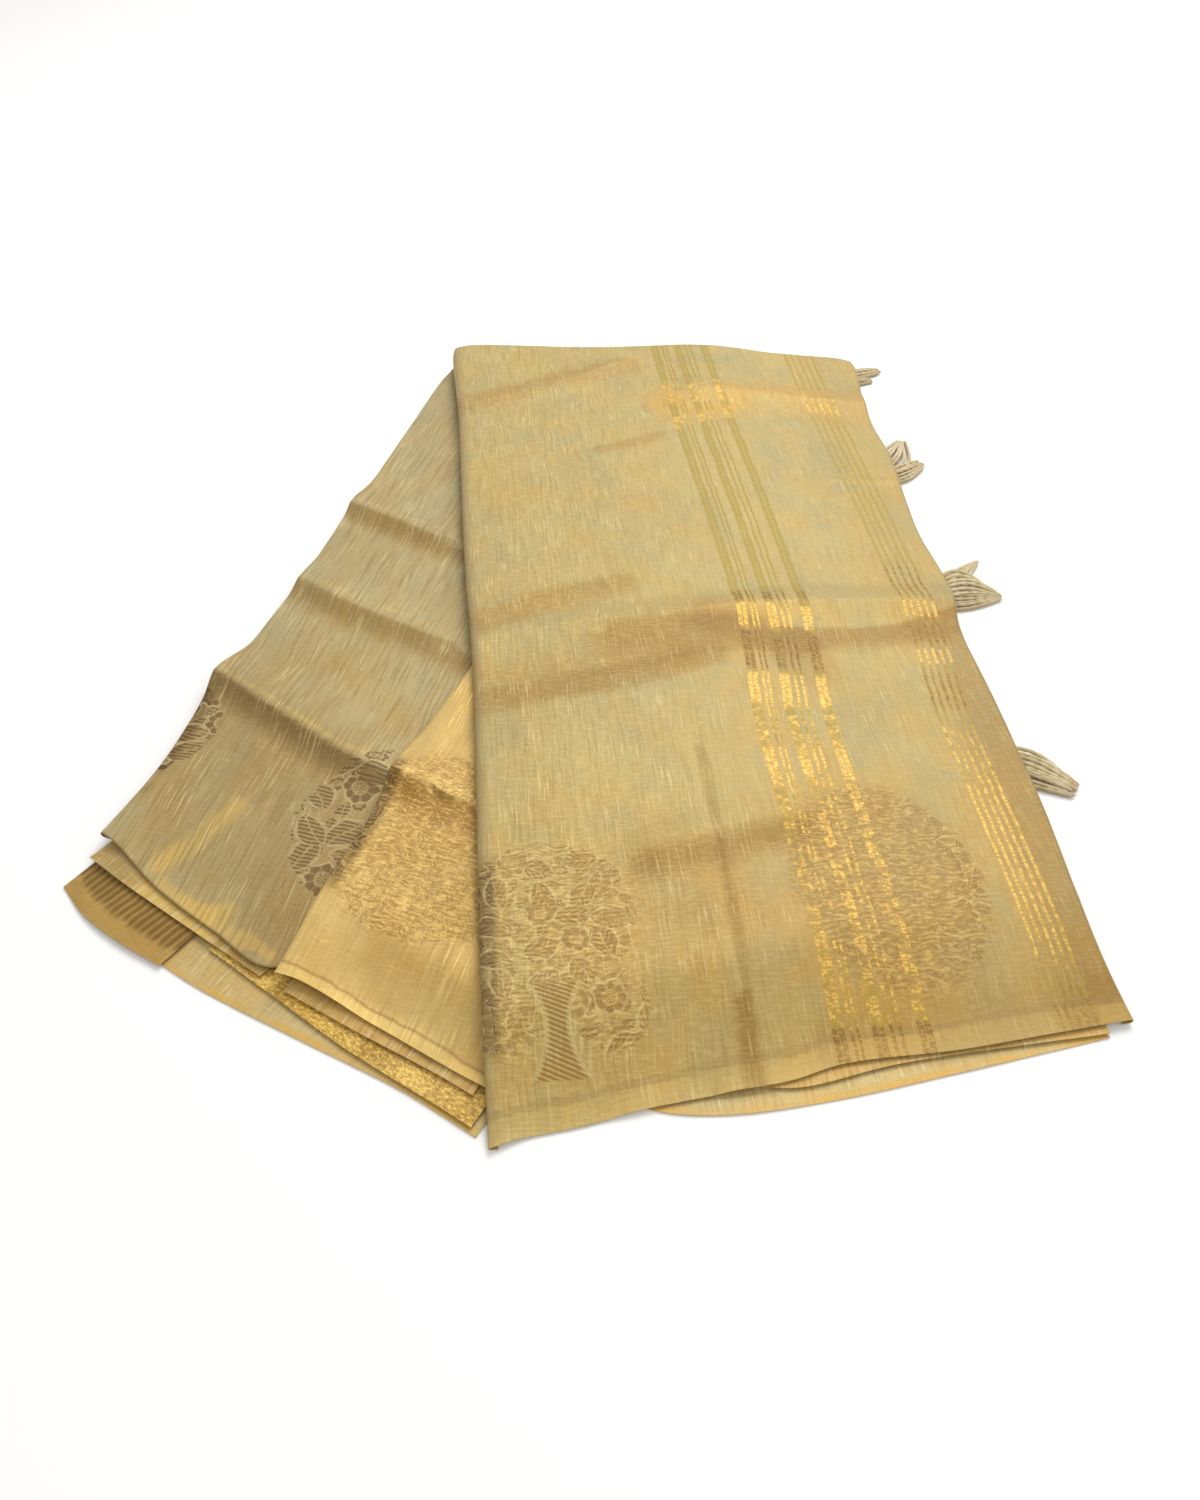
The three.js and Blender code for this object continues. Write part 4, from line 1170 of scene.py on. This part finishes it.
# Body: the fan at the left
body = {
    "name": "bodyFan",
    "replaces": "body_top",
    "slot": "body_cloth",
    "edges": bodyEdges,
    "columns": 90,
    "rows": 250,
    "folds": ("left",),
    "roll": lambda x, y: np.full(np.shape(x), layout["bodyRoll"]),
    "height": bodyTop,
    "grain": -13.8,
    "flat": (0.13, 0.45),
    "restsOn": ["foldedPile", "bodyUnder"],
    "ground": {
        "base": tint(180, 164, 116), "cloud": tint(168, 155, 112), "warm": tint(174, 148, 94),
        "warmth": 0.6,
        "run": 0.75, "slub": 0.55, "slubColour": tint(136, 112, 64), "pick": 0.2,
        "pickColour": tint(192, 172, 120),
        "fleck": 0.5, "fleckColour": tint(212, 194, 142), "shade": tint(120, 93, 48),
        "glow": tint(220, 184, 102),
    },
    # Painted shade, gold sheen and highlights along the creases and the hem
    "paintedLightAndShade": [
        {
            "line": [(-192, -37), (-154, -67), (-116, -97), (-86, -115), (-60, -128)],
            "near": 18, "far": 2, "dark": 0.66, "gold": 0.25,
        },
        {"line": [(-190, -34), (-152, -63), (-116, -92), (-84, -110)], "near": 2, "far": 5, "shine": 0.5},
        {
            "line": [(-190, -60), (-150, -100), (-110, -160), (-110, -200)],
            "near": 70, "dark": 0.32, "gold": 0.3,
        },
        {"line": [(-200, -110), (-170, -150), (-130, -180)], "near": 45, "dark": 0.12, "gold": 0.15},
        {"line": [(-184, -158), (-172, -148), (-158, -128)], "near": 12, "core": 0.1, "shine": 0.75},
        {"line": [(-164, -186), (-150, -184)], "near": 10, "core": 0.1, "shine": 0.75},
        {"line": [(-140, -196), (-128, -206)], "near": 6, "shine": 0.7},
        {"line": [(-181, -170), (-162, -184), (-140, -200)], "near": 7, "shine": 0.8},
        {
            "line": [(-160, 34), (-121, 7), (-82, -15), (-56, -30)],
            "near": 20, "far": 4, "core": 0.2, "gold": 0.6, "dark": 0.5,
        },
        {
            "line": [(-146, 108), (-110, 86), (-70, 60)],
            "near": 17, "far": 4, "core": 0.2, "gold": 0.6, "dark": 0.55,
        },
        {"line": [(-158, 40), (-118, 14), (-80, -6)], "near": 2, "far": 6, "shine": 0.4},
        {"line": [(-143, 114), (-108, 92), (-84, 80)], "near": 2, "far": 6, "shine": 0.4},
        {"line": [(-130, -30), (-100, -60), (-70, -95)], "near": 22, "gold": 0.25},
    ],
    "trees": [
        {
            "x": -83, "y": -142, "radius": 0.048, "amount": 0.85, "flecks": 0.1, "outline": 0.75,
            "density": 55, "worn": 0, "boughs": 0, "scatter": 0.9,
            "bright": tint(196, 172, 116), "dark": tint(130, 102, 58),
        },
        {
            "x": -209, "y": -74, "radius": 0.033, "amount": 0.85, "flecks": 0.15, "outline": 0.75,
            "density": 58, "worn": 0, "boughs": 0, "scatter": 0.9,
            "bright": tint(190, 166, 112), "dark": tint(130, 102, 58),
        },
    ],
    "finish": {"metal": 0.12, "roughness": 0.55, "sheen": 0.06, "bump": 0.4},
}


def bodyMaterial():
    cloth = startCloth("bodyTissue", body["ground"])
    tree = cloth["tree"]
    for row in body["trees"]:
        addTree(cloth, body, row, tint(112, 86, 48), tint(188, 168, 118))
    # Painted shade along the hem's edge
    dye(cloth, times(tree, spread(tree, cloth["fromHem"], 0.0012, 0.0002), 0.6), body["ground"]["shade"])
    return finishCloth(cloth, body["finish"])


body["material"] = bodyMaterial

# Inner panel: between the fan and the pallu
inner = {
    "name": "innerPanel",
    "replaces": "inner_panel",
    "slot": "inner_cloth",
    "edges": innerEdges,
    "columns": 64,
    "rows": 170,
    "folds": ("left",),
    "roll": lambda x, y: np.full(np.shape(x), layout["innerRoll"]),
    "height": innerTop,
    "grain": -18.0,
    "flat": (0.07, 0.26),
    "restsOn": ["bodyFan", "innerUnder"],
    "ground": {
        "base": tint(201, 171, 105), "cloud": tint(188, 161, 99), "warm": tint(202, 166, 92), "warmth": 0.7,
        "run": 0.8, "slub": 0.25, "slubColour": tint(172, 132, 62), "pick": 0.2,
        "pickColour": tint(232, 198, 116),
        "fleck": 0.35, "fleckColour": tint(240, 212, 136), "shade": tint(146, 106, 44),
        "glow": tint(244, 214, 136),
    },
    # Painted shade, gold sheen and highlights along the crease and the panel
    "paintedLightAndShade": [
        {
            "line": [(-92, -112), (-68, -124), (-40, -136)],
            "near": 22, "far": 2, "core": 0.15, "gold": 0.5, "dark": 0.8,
        },
        {"line": [(-92, -108), (-68, -120), (-40, -132)], "near": 2, "far": 8, "shine": 0.45},
        {"line": [(-50, -26), (-40, -60), (-40, -112)], "near": 34, "core": 0.3, "shine": 0.36},
        {"line": [(-100, -168), (-72, -188), (-46, -214)], "near": 34, "shine": 0.3},
        {"line": [(-60, -244), (-100, -226)], "near": 12, "shine": 0.45},
        {"line": [(-80, -205), (-52, -222)], "near": 16, "gold": 0.4, "dark": 0.15},
    ],
    "trees": [{
        "x": -60, "y": -152, "radius": 0.052, "amount": 0.45, "flecks": 0.56, "outline": 0.3,
        "density": 76, "worn": 0.85, "boughs": 0, "scatter": 0.2, "bed": 0.12,
        "bright": tint(232, 194, 106), "dark": tint(160, 120, 52),
    }],
    # Painted shade line and highlighted lip along the near hem
    "hemShading": {
        "line": (0.005, 0.0064), "shadeLineColour": tint(140, 100, 40), "shadeLineAmount": 0.5,
        "lip": 0.4, "lipHighlightColour": tint(236, 202, 116),
    },
    "finish": {"metal": 0.24, "roughness": 0.5, "sheen": 0.05, "bump": 0.5},
}


def innerMaterial():
    cloth = startCloth("innerTissue", inner["ground"])
    for row in inner["trees"]:
        addTree(cloth, inner, row, tint(150, 108, 44), tint(240, 208, 128))
    addHemShading(cloth, inner["hemShading"])
    return finishCloth(cloth, inner["finish"])


inner["material"] = innerMaterial

# Strips at the near edge: each shows outside the stretch that lies on it
stripGround = {
    "base": tint(200, 178, 120), "cloud": tint(188, 169, 116), "warm": tint(200, 164, 94), "warmth": 0.65,
    "run": 1.0, "slub": 0.4, "slubColour": tint(156, 132, 80), "pick": 0.25,
    "pickColour": tint(216, 198, 146),
    "fleck": 0.5, "fleckColour": tint(228, 214, 168), "shade": tint(146, 108, 54),
}
stripFinish = {"metal": 0.2, "roughness": 0.5, "sheen": 0.05, "bump": 0.5}


def plainStripMaterial():
    cloth = startCloth("stripTissue", stripGround)
    tree = cloth["tree"]
    patchy = mottle(tree, stretched(tree, cloth["flat"], 60, 60))
    edge = spread(tree, cloth["fromHem"], 0.0045, 0.0012)
    dye(cloth, times(tree, edge, spread(tree, patchy, 0.4, 0.6, 0.35, 0.9)), tint(206, 166, 84))
    return finishCloth(cloth, stripFinish)


def bodyUnderMaterial():
    ground = dict(stripGround, base=tint(186, 156, 92), cloud=tint(174, 146, 86), warm=tint(190, 152, 80))
    return finishCloth(startCloth("underTissue", ground), stripFinish)


def goldUnderMaterial():
    ground = dict(stripGround, base=tint(196, 156, 80), cloud=tint(178, 142, 74))
    ground["slubColour"] = tint(140, 104, 48)
    return finishCloth(startCloth("goldUnderTissue", ground), stripFinish)


def ribbedMaterial(pitch=0.0036):
    ground = dict(stripGround, base=tint(180, 145, 74), cloud=tint(164, 131, 66), warm=tint(186, 146, 70))
    ground.update(slub=0.2, fleck=0.1, pick=0.1)
    cloth = startCloth("ribbedBorder", ground)
    tree = cloth["tree"]
    wobble = mottle(tree, stretched(tree, cloth["flat"], 60, 200), detail=1)
    across = plus(tree, cloth["across"], times(tree, wobble, 0.0012))
    bars = spread(tree, calc(tree, "SINE", times(tree, across, 2 * math.pi / pitch)), -0.35, 0.55, 1, 0)
    # The ribs start at an uneven line inside the hem, and the band they cover is painted darker as the
    # shadow of the layer above
    patchy = mottle(tree, stretched(tree, cloth["flat"], 160, 90))
    reach = spread(tree, plus(tree, cloth["fromHem"], times(tree, patchy, 0.006)), 0.0085, 0.0135)
    dye(cloth, times(tree, reach, spread(tree, patchy, 0.35, 0.6, 0.5, 0.75)), tint(142, 109, 46))
    woven = times(tree, bars, reach)
    dye(cloth, times(tree, woven, 0.6), tint(96, 68, 24))
    cloth["height"] = minus(tree, cloth["height"], times(tree, woven, 0.7))
    return finishCloth(cloth, stripFinish)


def zariMaterial():
    ground = dict(stripGround, base=tint(200, 160, 72), cloud=tint(184, 147, 64))
    ground.update(slub=0.0, pick=0.0, fleck=0.0)
    cloth = startCloth("zariBand", ground)
    tree = cloth["tree"]
    crinkle = mottle(tree, stretched(tree, cloth["flat"], 480, 760), detail=2.5, roughness=0.6)
    patchy = mottle(tree, stretched(tree, cloth["flat"], 70, 70))
    # Bright and dark patches on the crinkles are painted highlights and shade
    lift = plus(tree, crinkle, swing(tree, patchy, 0.5))
    dye(cloth, spread(tree, lift, 0.5, 0.62, 0, 0.8), tint(236, 200, 104))
    dye(cloth, spread(tree, lift, 0.46, 0.34, 0, 0.6), tint(140, 100, 36))
    cloth["height"] = plus(tree, cloth["height"], crinkle)
    return finishCloth(cloth, dict(stripFinish, metal=0.3, roughness=0.45, bump=0.6))


strips = [
    {
        "name": "hemStrip", "replaces": "hem_strip", "slot": "hem", "material": plainStripMaterial,
        "tuck": (13, 22), "layer": (0, 0), "grain": -32, "flat": (0.17, 0.026), "restsOn": [],
        "edge": [(-184, -199), (-155, -218), (-111, -241), (-70, -262), (-40, -281)],
    },
    {
        "name": "ribbedBorder", "replaces": "ribbed_border", "slot": "woven_border",
        "material": ribbedMaterial,
        "tuck": (17, 24), "layer": (0, 1), "grain": -39, "flat": (0.068, 0.03), "restsOn": ["hemStrip"],
        "edge": [(-225, -167), (-211, -183), (-192, -197), (-173, -208)],
    },
    {
        "name": "zariBand", "replaces": "zari_band", "slot": "zari", "material": zariMaterial,
        "tuck": (12, 20), "layer": (1, 1), "grain": -34, "flat": (0.14, 0.024), "restsOn": ["hemStrip"],
        "edge": [(-155, -200), (-129, -219), (-92, -246), (-54, -270), (-42, -278)],
    },
    {
        "name": "bodyUnder", "replaces": "body_under", "slot": "body_cloth", "material": bodyUnderMaterial,
        "tuck": (14, 18), "layer": (2, 2), "grain": -34, "flat": (0.107, 0.023),
        "restsOn": ["ribbedBorder", "zariBand"],
        "edge": [(-217, -153), (-200, -166), (-163, -192), (-131, -214)],
        # Painted highlight and shade along the strip
        "paintedLightAndShade": [
            {"line": [(-186, -174), (-158, -193)], "near": 9, "core": 0.5, "shine": 0.9},
            {"line": [(-150, -199), (-131, -212)], "near": 9, "gold": 0.4, "dark": 0.3},
            {"line": [(-216, -150), (-200, -162)], "near": 10, "dark": 0.25},
        ],
    },
    {
        "name": "innerUnder", "replaces": "inner_under", "slot": "inner_cloth",
        "material": goldUnderMaterial,
        "tuck": (6, 12), "layer": (2, 2), "grain": -30, "flat": (0.09, 0.0135), "restsOn": ["zariBand"],
        "edge": [(-120, -221), (-91, -238), (-55, -258), (-42, -266)],
    },
    {
        "name": "palluLower", "replaces": "pallu_lower", "slot": "body_cloth",
        "material": plainStripMaterial,
        "tuck": (-6, 30), "layer": (0, 0), "grain": 8, "flat": (0.187, 0.031), "restsOn": [],
        "edge": [(18, -269), (34, -272), (56, -272), (94, -266), (141, -255), (202, -240)],
    },
    {
        "name": "palluMid", "replaces": "pallu_mid", "slot": "pallu_cloth", "material": goldUnderMaterial,
        "tuck": (-6, 24), "layer": (1, 1), "grain": 8, "flat": (0.147, 0.025), "restsOn": ["palluLower"],
        "edge": [(58, -261), (79, -262), (119, -252), (202, -239)],
    },
]


def layStrip(strip):
    edge = strip["edge"]
    inside = [(x + strip["tuck"][0], y + strip["tuck"][1]) for x, y in edge]
    edges = {"near": edge, "far": inside, "left": [edge[0], inside[0]], "right": [edge[-1], inside[-1]]}
    first, last = strip["layer"]

    def height(x, y, s, fromHem):
        return layerHeight(mix(first, last, smooth(s / 0.6))) + rippleOn("strip", x, y)

    layCloth(dict(strip, edges=edges, columns=150, rows=24, height=height))


for strip in strips:
    layStrip(strip)
for cloth in (body, inner, pallu):
    layCloth(cloth)

# Hidden layers: one pile whose side shows the rounded edges of the layers. Its foot lies under
# the whole saree and its head under the pallu; insets are from their edges, up to a share of
# their layers.
pile = {
    "name": "foldedPile",
    "foot": {"layers": 5, "insets": [
        {"upTo": 0.5, "left": 5, "far": 5, "right": 15, "near": 46},
        {"upTo": 1, "left": 13, "far": 9, "right": 15, "near": 46},
    ]},
    "head": {"layers": 8, "insets": [
        {"upTo": 0.6, "left": 42, "far": 10, "right": 15, "near": 70},
        {"upTo": 1, "left": 10, "far": 10, "right": 15, "near": 72},
    ]},
    "pucker": 1.5,
    "uneven": 1.1,
    "corner": 0.03,
    "sidePoints": 46,
    "levels": (0, 0.12, 0.32, 0.55, 0.78, 0.93),  # up each layer
    "lidShrinks": (0.94, 0.8, 0.6, 0.4, 0.2, 0.0),
    "floorShrinks": (0, 0.5),
    "seed": 5,
}


# A square with cut corners, on which every ring of the pile is drawn
def pileUnitRing():
    corner, ring = pile["corner"], []
    corners = [(0, 0), (1, 0), (1, 1), (0, 1)]
    for k, (u, v) in enumerate(corners):
        toU, toV = corners[(k + 1) % 4]
        for share in np.linspace(corner, 1 - corner, pile["sidePoints"]):
            ring.append((mix(u, toU, share), mix(v, toV, share)))
        nextU, nextV = corners[(k + 2) % 4]
        cut = corner * 0.3
        ring.append((toU + cut * (nextU + u - 2 * toU), toV + cut * (nextV + v - 2 * toV)))
    return np.array(ring + ring[:1])


def pileRing(patch, inset, square, grow, shrink=1.0):
    u = 0.5 + (square[:, 0] - 0.5) * shrink
    v = 0.5 + (square[:, 1] - 0.5) * shrink
    length = mix(patch["left"]["length"], patch["right"]["length"], u)
    t = mix((inset["near"] + grow) / length, 1 - (inset["far"] + grow) / length, v)
    width = np.linalg.norm(onSpline(patch["left"], t) - onSpline(patch["right"], t), axis=-1)
    s = mix((inset["left"] + grow) / width, 1 - (inset["right"] + grow) / width, u)
    return onPatch(patch, s, t)


def pileMaterial():
    material, tree = newMaterial("pileTissue")
    place = put(tree, "TexCoord").outputs["Object"]
    layers = mottle(tree, stretched(tree, place, 60, 60, 1400))
    colour = blend(tree, spread(tree, layers, 0.38, 0.62), tint(188, 166, 112), stripGround["slubColour"])
    streak = mottle(tree, stretched(tree, place, 500, 60, 60))
    colour = blend(tree, spread(tree, streak, 0.5, 0.7, 0, 0.4), colour, stripGround["pickColour"])
    relief = {"Height": layers, "Strength": 0.4, "Distance": 0.0006}
    setShader(tree, colour, relief, {"Roughness": 0.6, "Metallic": 0.1})
    return material


def makePile():
    near = [bodyEdges["near"][0]] + fanHemLine[1:-1] + palluEdges["near"]
    left = bodyEdges["left"][:-1] + [palluEdges["far"][0]]
    whole = dict(palluEdges, near=near, left=left)
    patches = {"foot": patchBetween(whole), "head": patchBetween(palluEdges)}
    square = pileUnitRing()
    around = np.linspace(0, 2 * math.pi, len(square))
    draw = np.random.default_rng(pile["seed"])
    rings = []

    def headTop(x):
        return pileTop(x) - layout["stackClearance"]

    for key, patch in patches.items():
        part = pile[key]
        for layer in range(part["layers"]):
            inset = next(row for row in part["insets"] if layer / part["layers"] < row["upTo"])
            phase, waves = draw.uniform(0, 2 * math.pi), draw.integers(2, 6)
            sway = pile["uneven"] * (0.5 + 0.5 * np.sin(waves * around + phase)) * draw.uniform(0.3, 1)
            for level in pile["levels"]:
                bulge = pile["pucker"] * (1 - math.sqrt(max(0, 1 - (2 * level - 1) ** 2)))
                ring = pileRing(patch, inset, square, bulge + sway)
                share = (layer + level) / part["layers"]
                if key == "foot":
                    height = np.full(len(ring), layout["terraceHeight"] * share)
                else:
                    height = mix(layout["terraceHeight"], headTop(ring[:, 0]), share)
                rings.append(np.column_stack([ring, height]))
    for shrink in pile["lidShrinks"]:
        ring = pileRing(patches["head"], pile["head"]["insets"][1], square, pile["pucker"], shrink)
        rings.append(np.column_stack([ring, headTop(ring[:, 0])]))
    centre = rings[0][:-1].mean(axis=0)
    rings = [mix(centre, rings[0], share) for share in pile["floorShrinks"]] + rings
    points = np.array(rings)
    points[..., :2] -= np.array(layout["middle"])
    piece, column, row = addGrid(pile["name"], len(square) - 1, len(rings) - 1)
    setPoints(piece, points[row, column] / 1000)
    tidyMesh(piece)
    smoothShade(piece, 60)
    dress(piece, pileMaterial(), "folded_stack")
    print("pile made:", len(piece.data.polygons), "faces")


makePile()

# Tassels: plied cotton yarns that leave a wrapped knot in clumps. Each clump has its tip, how far
# its outer yarns arch to either side, how many yarns it has, how high they leave the knot, how
# high its upper yarns bow, how wide its cut end is, and how late it arches, where that isn't 0.85.
tassels = {
    "rows": [
        {"x": 163.8, "y": 262, "aim": 10, "clumps": [
            {"tip": (197.5, 278), "arch": (-2, 2), "yarns": 5, "rise": 2.6, "bow": 1.0, "cut": 1.3},
            {"tip": (190, 266), "arch": (-2, 0), "yarns": 4, "rise": 1.2, "bow": 0.2, "cut": 1.8},
        ]},
        {"x": 169.2, "y": 148, "aim": 30, "clumps": [
            {"tip": (196.5, 189), "arch": (-13, -1), "yarns": 7, "rise": 3.0, "bow": 1.4, "cut": 0.4},
            {"tip": (206, 162.7), "arch": (-8, -2), "yarns": 6, "rise": 1.8, "bow": 1.0, "cut": 1.2},
        ]},
        {"x": 176.8, "y": 32, "aim": 16, "clumps": [
            {"tip": (217.4, 62.5), "arch": (-7, -3), "yarns": 4, "rise": 3.2, "bow": 1.6, "cut": 0.4},
            {
                "tip": (221, 33), "arch": (3, 15), "yarns": 6, "rise": 3.4, "bow": 2.0, "late": 1.5,
                "cut": 0.4,
            },
            {"tip": (223.5, 31), "arch": (-6, 5), "yarns": 8, "rise": 1.2, "bow": 0.2, "cut": 0.4},
        ]},
        {"x": 185.4, "y": -90, "aim": -20, "clumps": [
            {"tip": (225, -111), "arch": (2, 8), "yarns": 7, "rise": 3.4, "bow": 2.0, "cut": 0.9},
            {"tip": (224, -113.5), "arch": (-2, 4), "yarns": 8, "rise": 1.2, "bow": 0.2, "cut": 0.7},
        ]},
    ],
    "yarn": {"radius": 0.95, "steps": 40, "around": 12, "tips": (0.92, 0.25)},
    "late": 0.85,
    "rootPitch": 1.5,  # between two yarns where they leave the knot
    "rootReach": 2.6,  # from the knot's middle to where a clump may leave it
    "plies": 3,
    "plyDepth": 0.2,  # how deep the groove between two plies is, as a share of the radius
    "plyTurns": 8,
    "uneven": {"arch": (-1.2, 1.2), "length": (0.9, 1.02), "cut": (-0.5, 0.5), "bow": (0.6, 1.1)},
    "highest": 3.0,
    "lowest": 1.15,
    "knot": (2.9, 5.0, 1.9),  # half sizes
    "wrap": {"rounds": 7, "perRound": 21, "radius": 0.55, "around": 8, "inset": (0.9, 0.6, 0.55)},
    "core": 0.88,  # as a share of the knot
    "gap": 0.3,
    "seed": 9,
}


def cottonMaterial():
    material, tree = newMaterial("creamCotton")
    flat = put(tree, "UVMap", uv_map="UVMap").outputs[0]
    place = put(tree, "TexCoord").outputs["Object"]
    fibre = mottle(tree, stretched(tree, flat, 9, 260), detail=3)
    cloud = mottle(tree, place, scale=90)
    colour = blend(tree, spread(tree, cloud, 0.35, 0.65), tint(208, 190, 146), tint(222, 207, 168))
    colour = blend(tree, spread(tree, fibre, 0.45, 0.7, 0, 0.5), colour, tint(150, 126, 80))
    # Little light comes to the lower yarns
    under = spread(tree, apart(tree, place)[2], 0.0038, 0.0010, 0, 0.5)
    colour = blend(tree, under, colour, tint(132, 104, 56))
    relief = {"Height": fibre, "Strength": 0.5, "Distance": 0.0004}
    setShader(tree, colour, relief, {"Roughness": 0.85, "Sheen Weight": 0.3})
    return material


def inMetres(points):
    return (points - np.array([*layout["middle"], 0])) / 1000


def yarnAlong(name, path, radii, around, turns):
    steps = len(path) - 1
    piece, column, row = addGrid(name, around, steps)
    ahead = np.gradient(path, axis=0)
    ahead /= np.linalg.norm(ahead, axis=1, keepdims=True)
    level = np.cross(ahead, (0, 0, 1))
    level /= np.linalg.norm(level, axis=1, keepdims=True)
    above = np.cross(level, ahead)
    angle = 2 * math.pi * column / around
    twist = tassels["plies"] * angle + 2 * math.pi * turns * row / steps
    radii = np.concatenate([[0], radii[1:-1], [0]])
    radius = radii[row] * (1 + tassels["plyDepth"] * np.cos(twist))
    rim = np.cos(angle)[:, None] * level[row] + np.sin(angle)[:, None] * above[row]
    setPoints(piece, inMetres(path[row] + radius[:, None] * rim))
    return piece


def clumpYarns(clump, side, knotAt, draw):
    yarn, uneven, count = tassels["yarn"], tassels["uneven"], clump["yarns"]
    reach = tassels["rootReach"]
    towards = float(np.dot(np.array(clump["tip"]) - knotAt[:2], side[:2]))
    root = knotAt[:2] + side[:2] * min(max(towards, -reach), reach)
    run = np.array(clump["tip"]) - root
    sideways = np.array([-run[1], run[0]]) / np.linalg.norm(run)
    steps = np.linspace(0, 1, yarn["steps"] + 1)
    tipStarts, tipThins = yarn["tips"]
    radii = yarn["radius"] * (1 - tipThins * smooth((steps - tipStarts) / (1 - tipStarts)))
    wave = np.sin(math.pi * steps ** clump.get("late", tassels["late"]))
    parts = []
    for k in range(count):
        share = k / (count - 1)
        aside = (share - 0.5) * (count - 1)
        arch = mix(*clump["arch"], share) + draw.uniform(*uneven["arch"])
        start = root + side[:2] * aside * tassels["rootPitch"]
        end = root + run * draw.uniform(*uneven["length"]) + sideways * aside * clump["cut"]
        end = end + sideways * draw.uniform(*uneven["cut"])
        path = np.zeros((len(steps), 3))
        path[:, :2] = start + (end - start) * steps[:, None] + sideways * (wave * arch)[:, None]
        # From the knot down to the table, with every second yarn a little higher at the knot
        top = clump["rise"] * (0.75 + 0.25 * math.sin(math.pi * share)) + (0.5 if k % 2 else 0)
        low = tassels["lowest"] + 0.3 * clump["bow"]
        bow = 0.3 + clump["bow"] * share * draw.uniform(*uneven["bow"])
        path[:, 2] = mix(min(top, tassels["highest"]), low, smooth((steps - 0.3) / 0.7))
        path[:, 2] += bow * np.sin(math.pi * steps**1.5)
        parts.append(yarnAlong("yarn", path, radii, yarn["around"], tassels["plyTurns"]))
    return parts


# The knot's thread goes round the roots of the yarns
def knotThread(knotAt, lead, side):
    wrap = tassels["wrap"]
    rounds = np.linspace(0, 1, wrap["perRound"] * wrap["rounds"] + 1)
    angle = 2 * math.pi * wrap["rounds"] * rounds
    along, across, up = [size - inset for size, inset in zip(tassels["knot"], wrap["inset"])]
    shift = (rounds - 0.5) * 2 * along
    swell = np.sqrt(np.clip(1 - (shift / tassels["knot"][0]) ** 2, 0.2, 1))
    path = knotAt + lead * shift[:, None] + side * (np.cos(angle) * across * swell)[:, None]
    path[:, 2] += np.sin(angle) * up * swell
    return yarnAlong("wrap", path, np.full(len(path), wrap["radius"]), wrap["around"], 0)


def makeTassel(number, row, draw, cotton):
    aim = math.radians(row["aim"])
    lead = np.array([math.cos(aim), math.sin(aim), 0])
    side = np.array([-math.sin(aim), math.cos(aim), 0])
    knotAt = np.array([row["x"], row["y"], tassels["knot"][2] + tassels["gap"]])
    parts = []
    for clump in row["clumps"]:
        parts += clumpYarns(clump, side, knotAt, draw)
    tassel = knotThread(knotAt, lead, side)
    bpy.ops.mesh.primitive_uv_sphere_add(segments=24, ring_count=12, radius=1)
    core = bpy.context.active_object
    core.scale = [size * tassels["core"] / 1000 for size in tassels["knot"]]
    core.rotation_euler = (0, 0, aim)
    core.location = inMetres(knotAt)
    bpy.ops.object.transform_apply(location=True, rotation=True, scale=True)
    pick(tassel, core, *parts)
    bpy.ops.object.join()
    tassel.name = f"tassel{number}"
    tassel.data.name = tassel.name
    tidyMesh(tassel)
    bpy.ops.object.origin_set(type="ORIGIN_CURSOR")
    smoothShade(tassel, 70)
    dress(tassel, cotton, f"tassel_{number}")
    print("tassel made:", tassel.name, len(tassel.data.polygons), "faces")


yarnDraw = np.random.default_rng(tassels["seed"])
cotton = cottonMaterial()
for number, row in enumerate(tassels["rows"], start=1):
    makeTassel(number, row, yarnDraw, cotton)
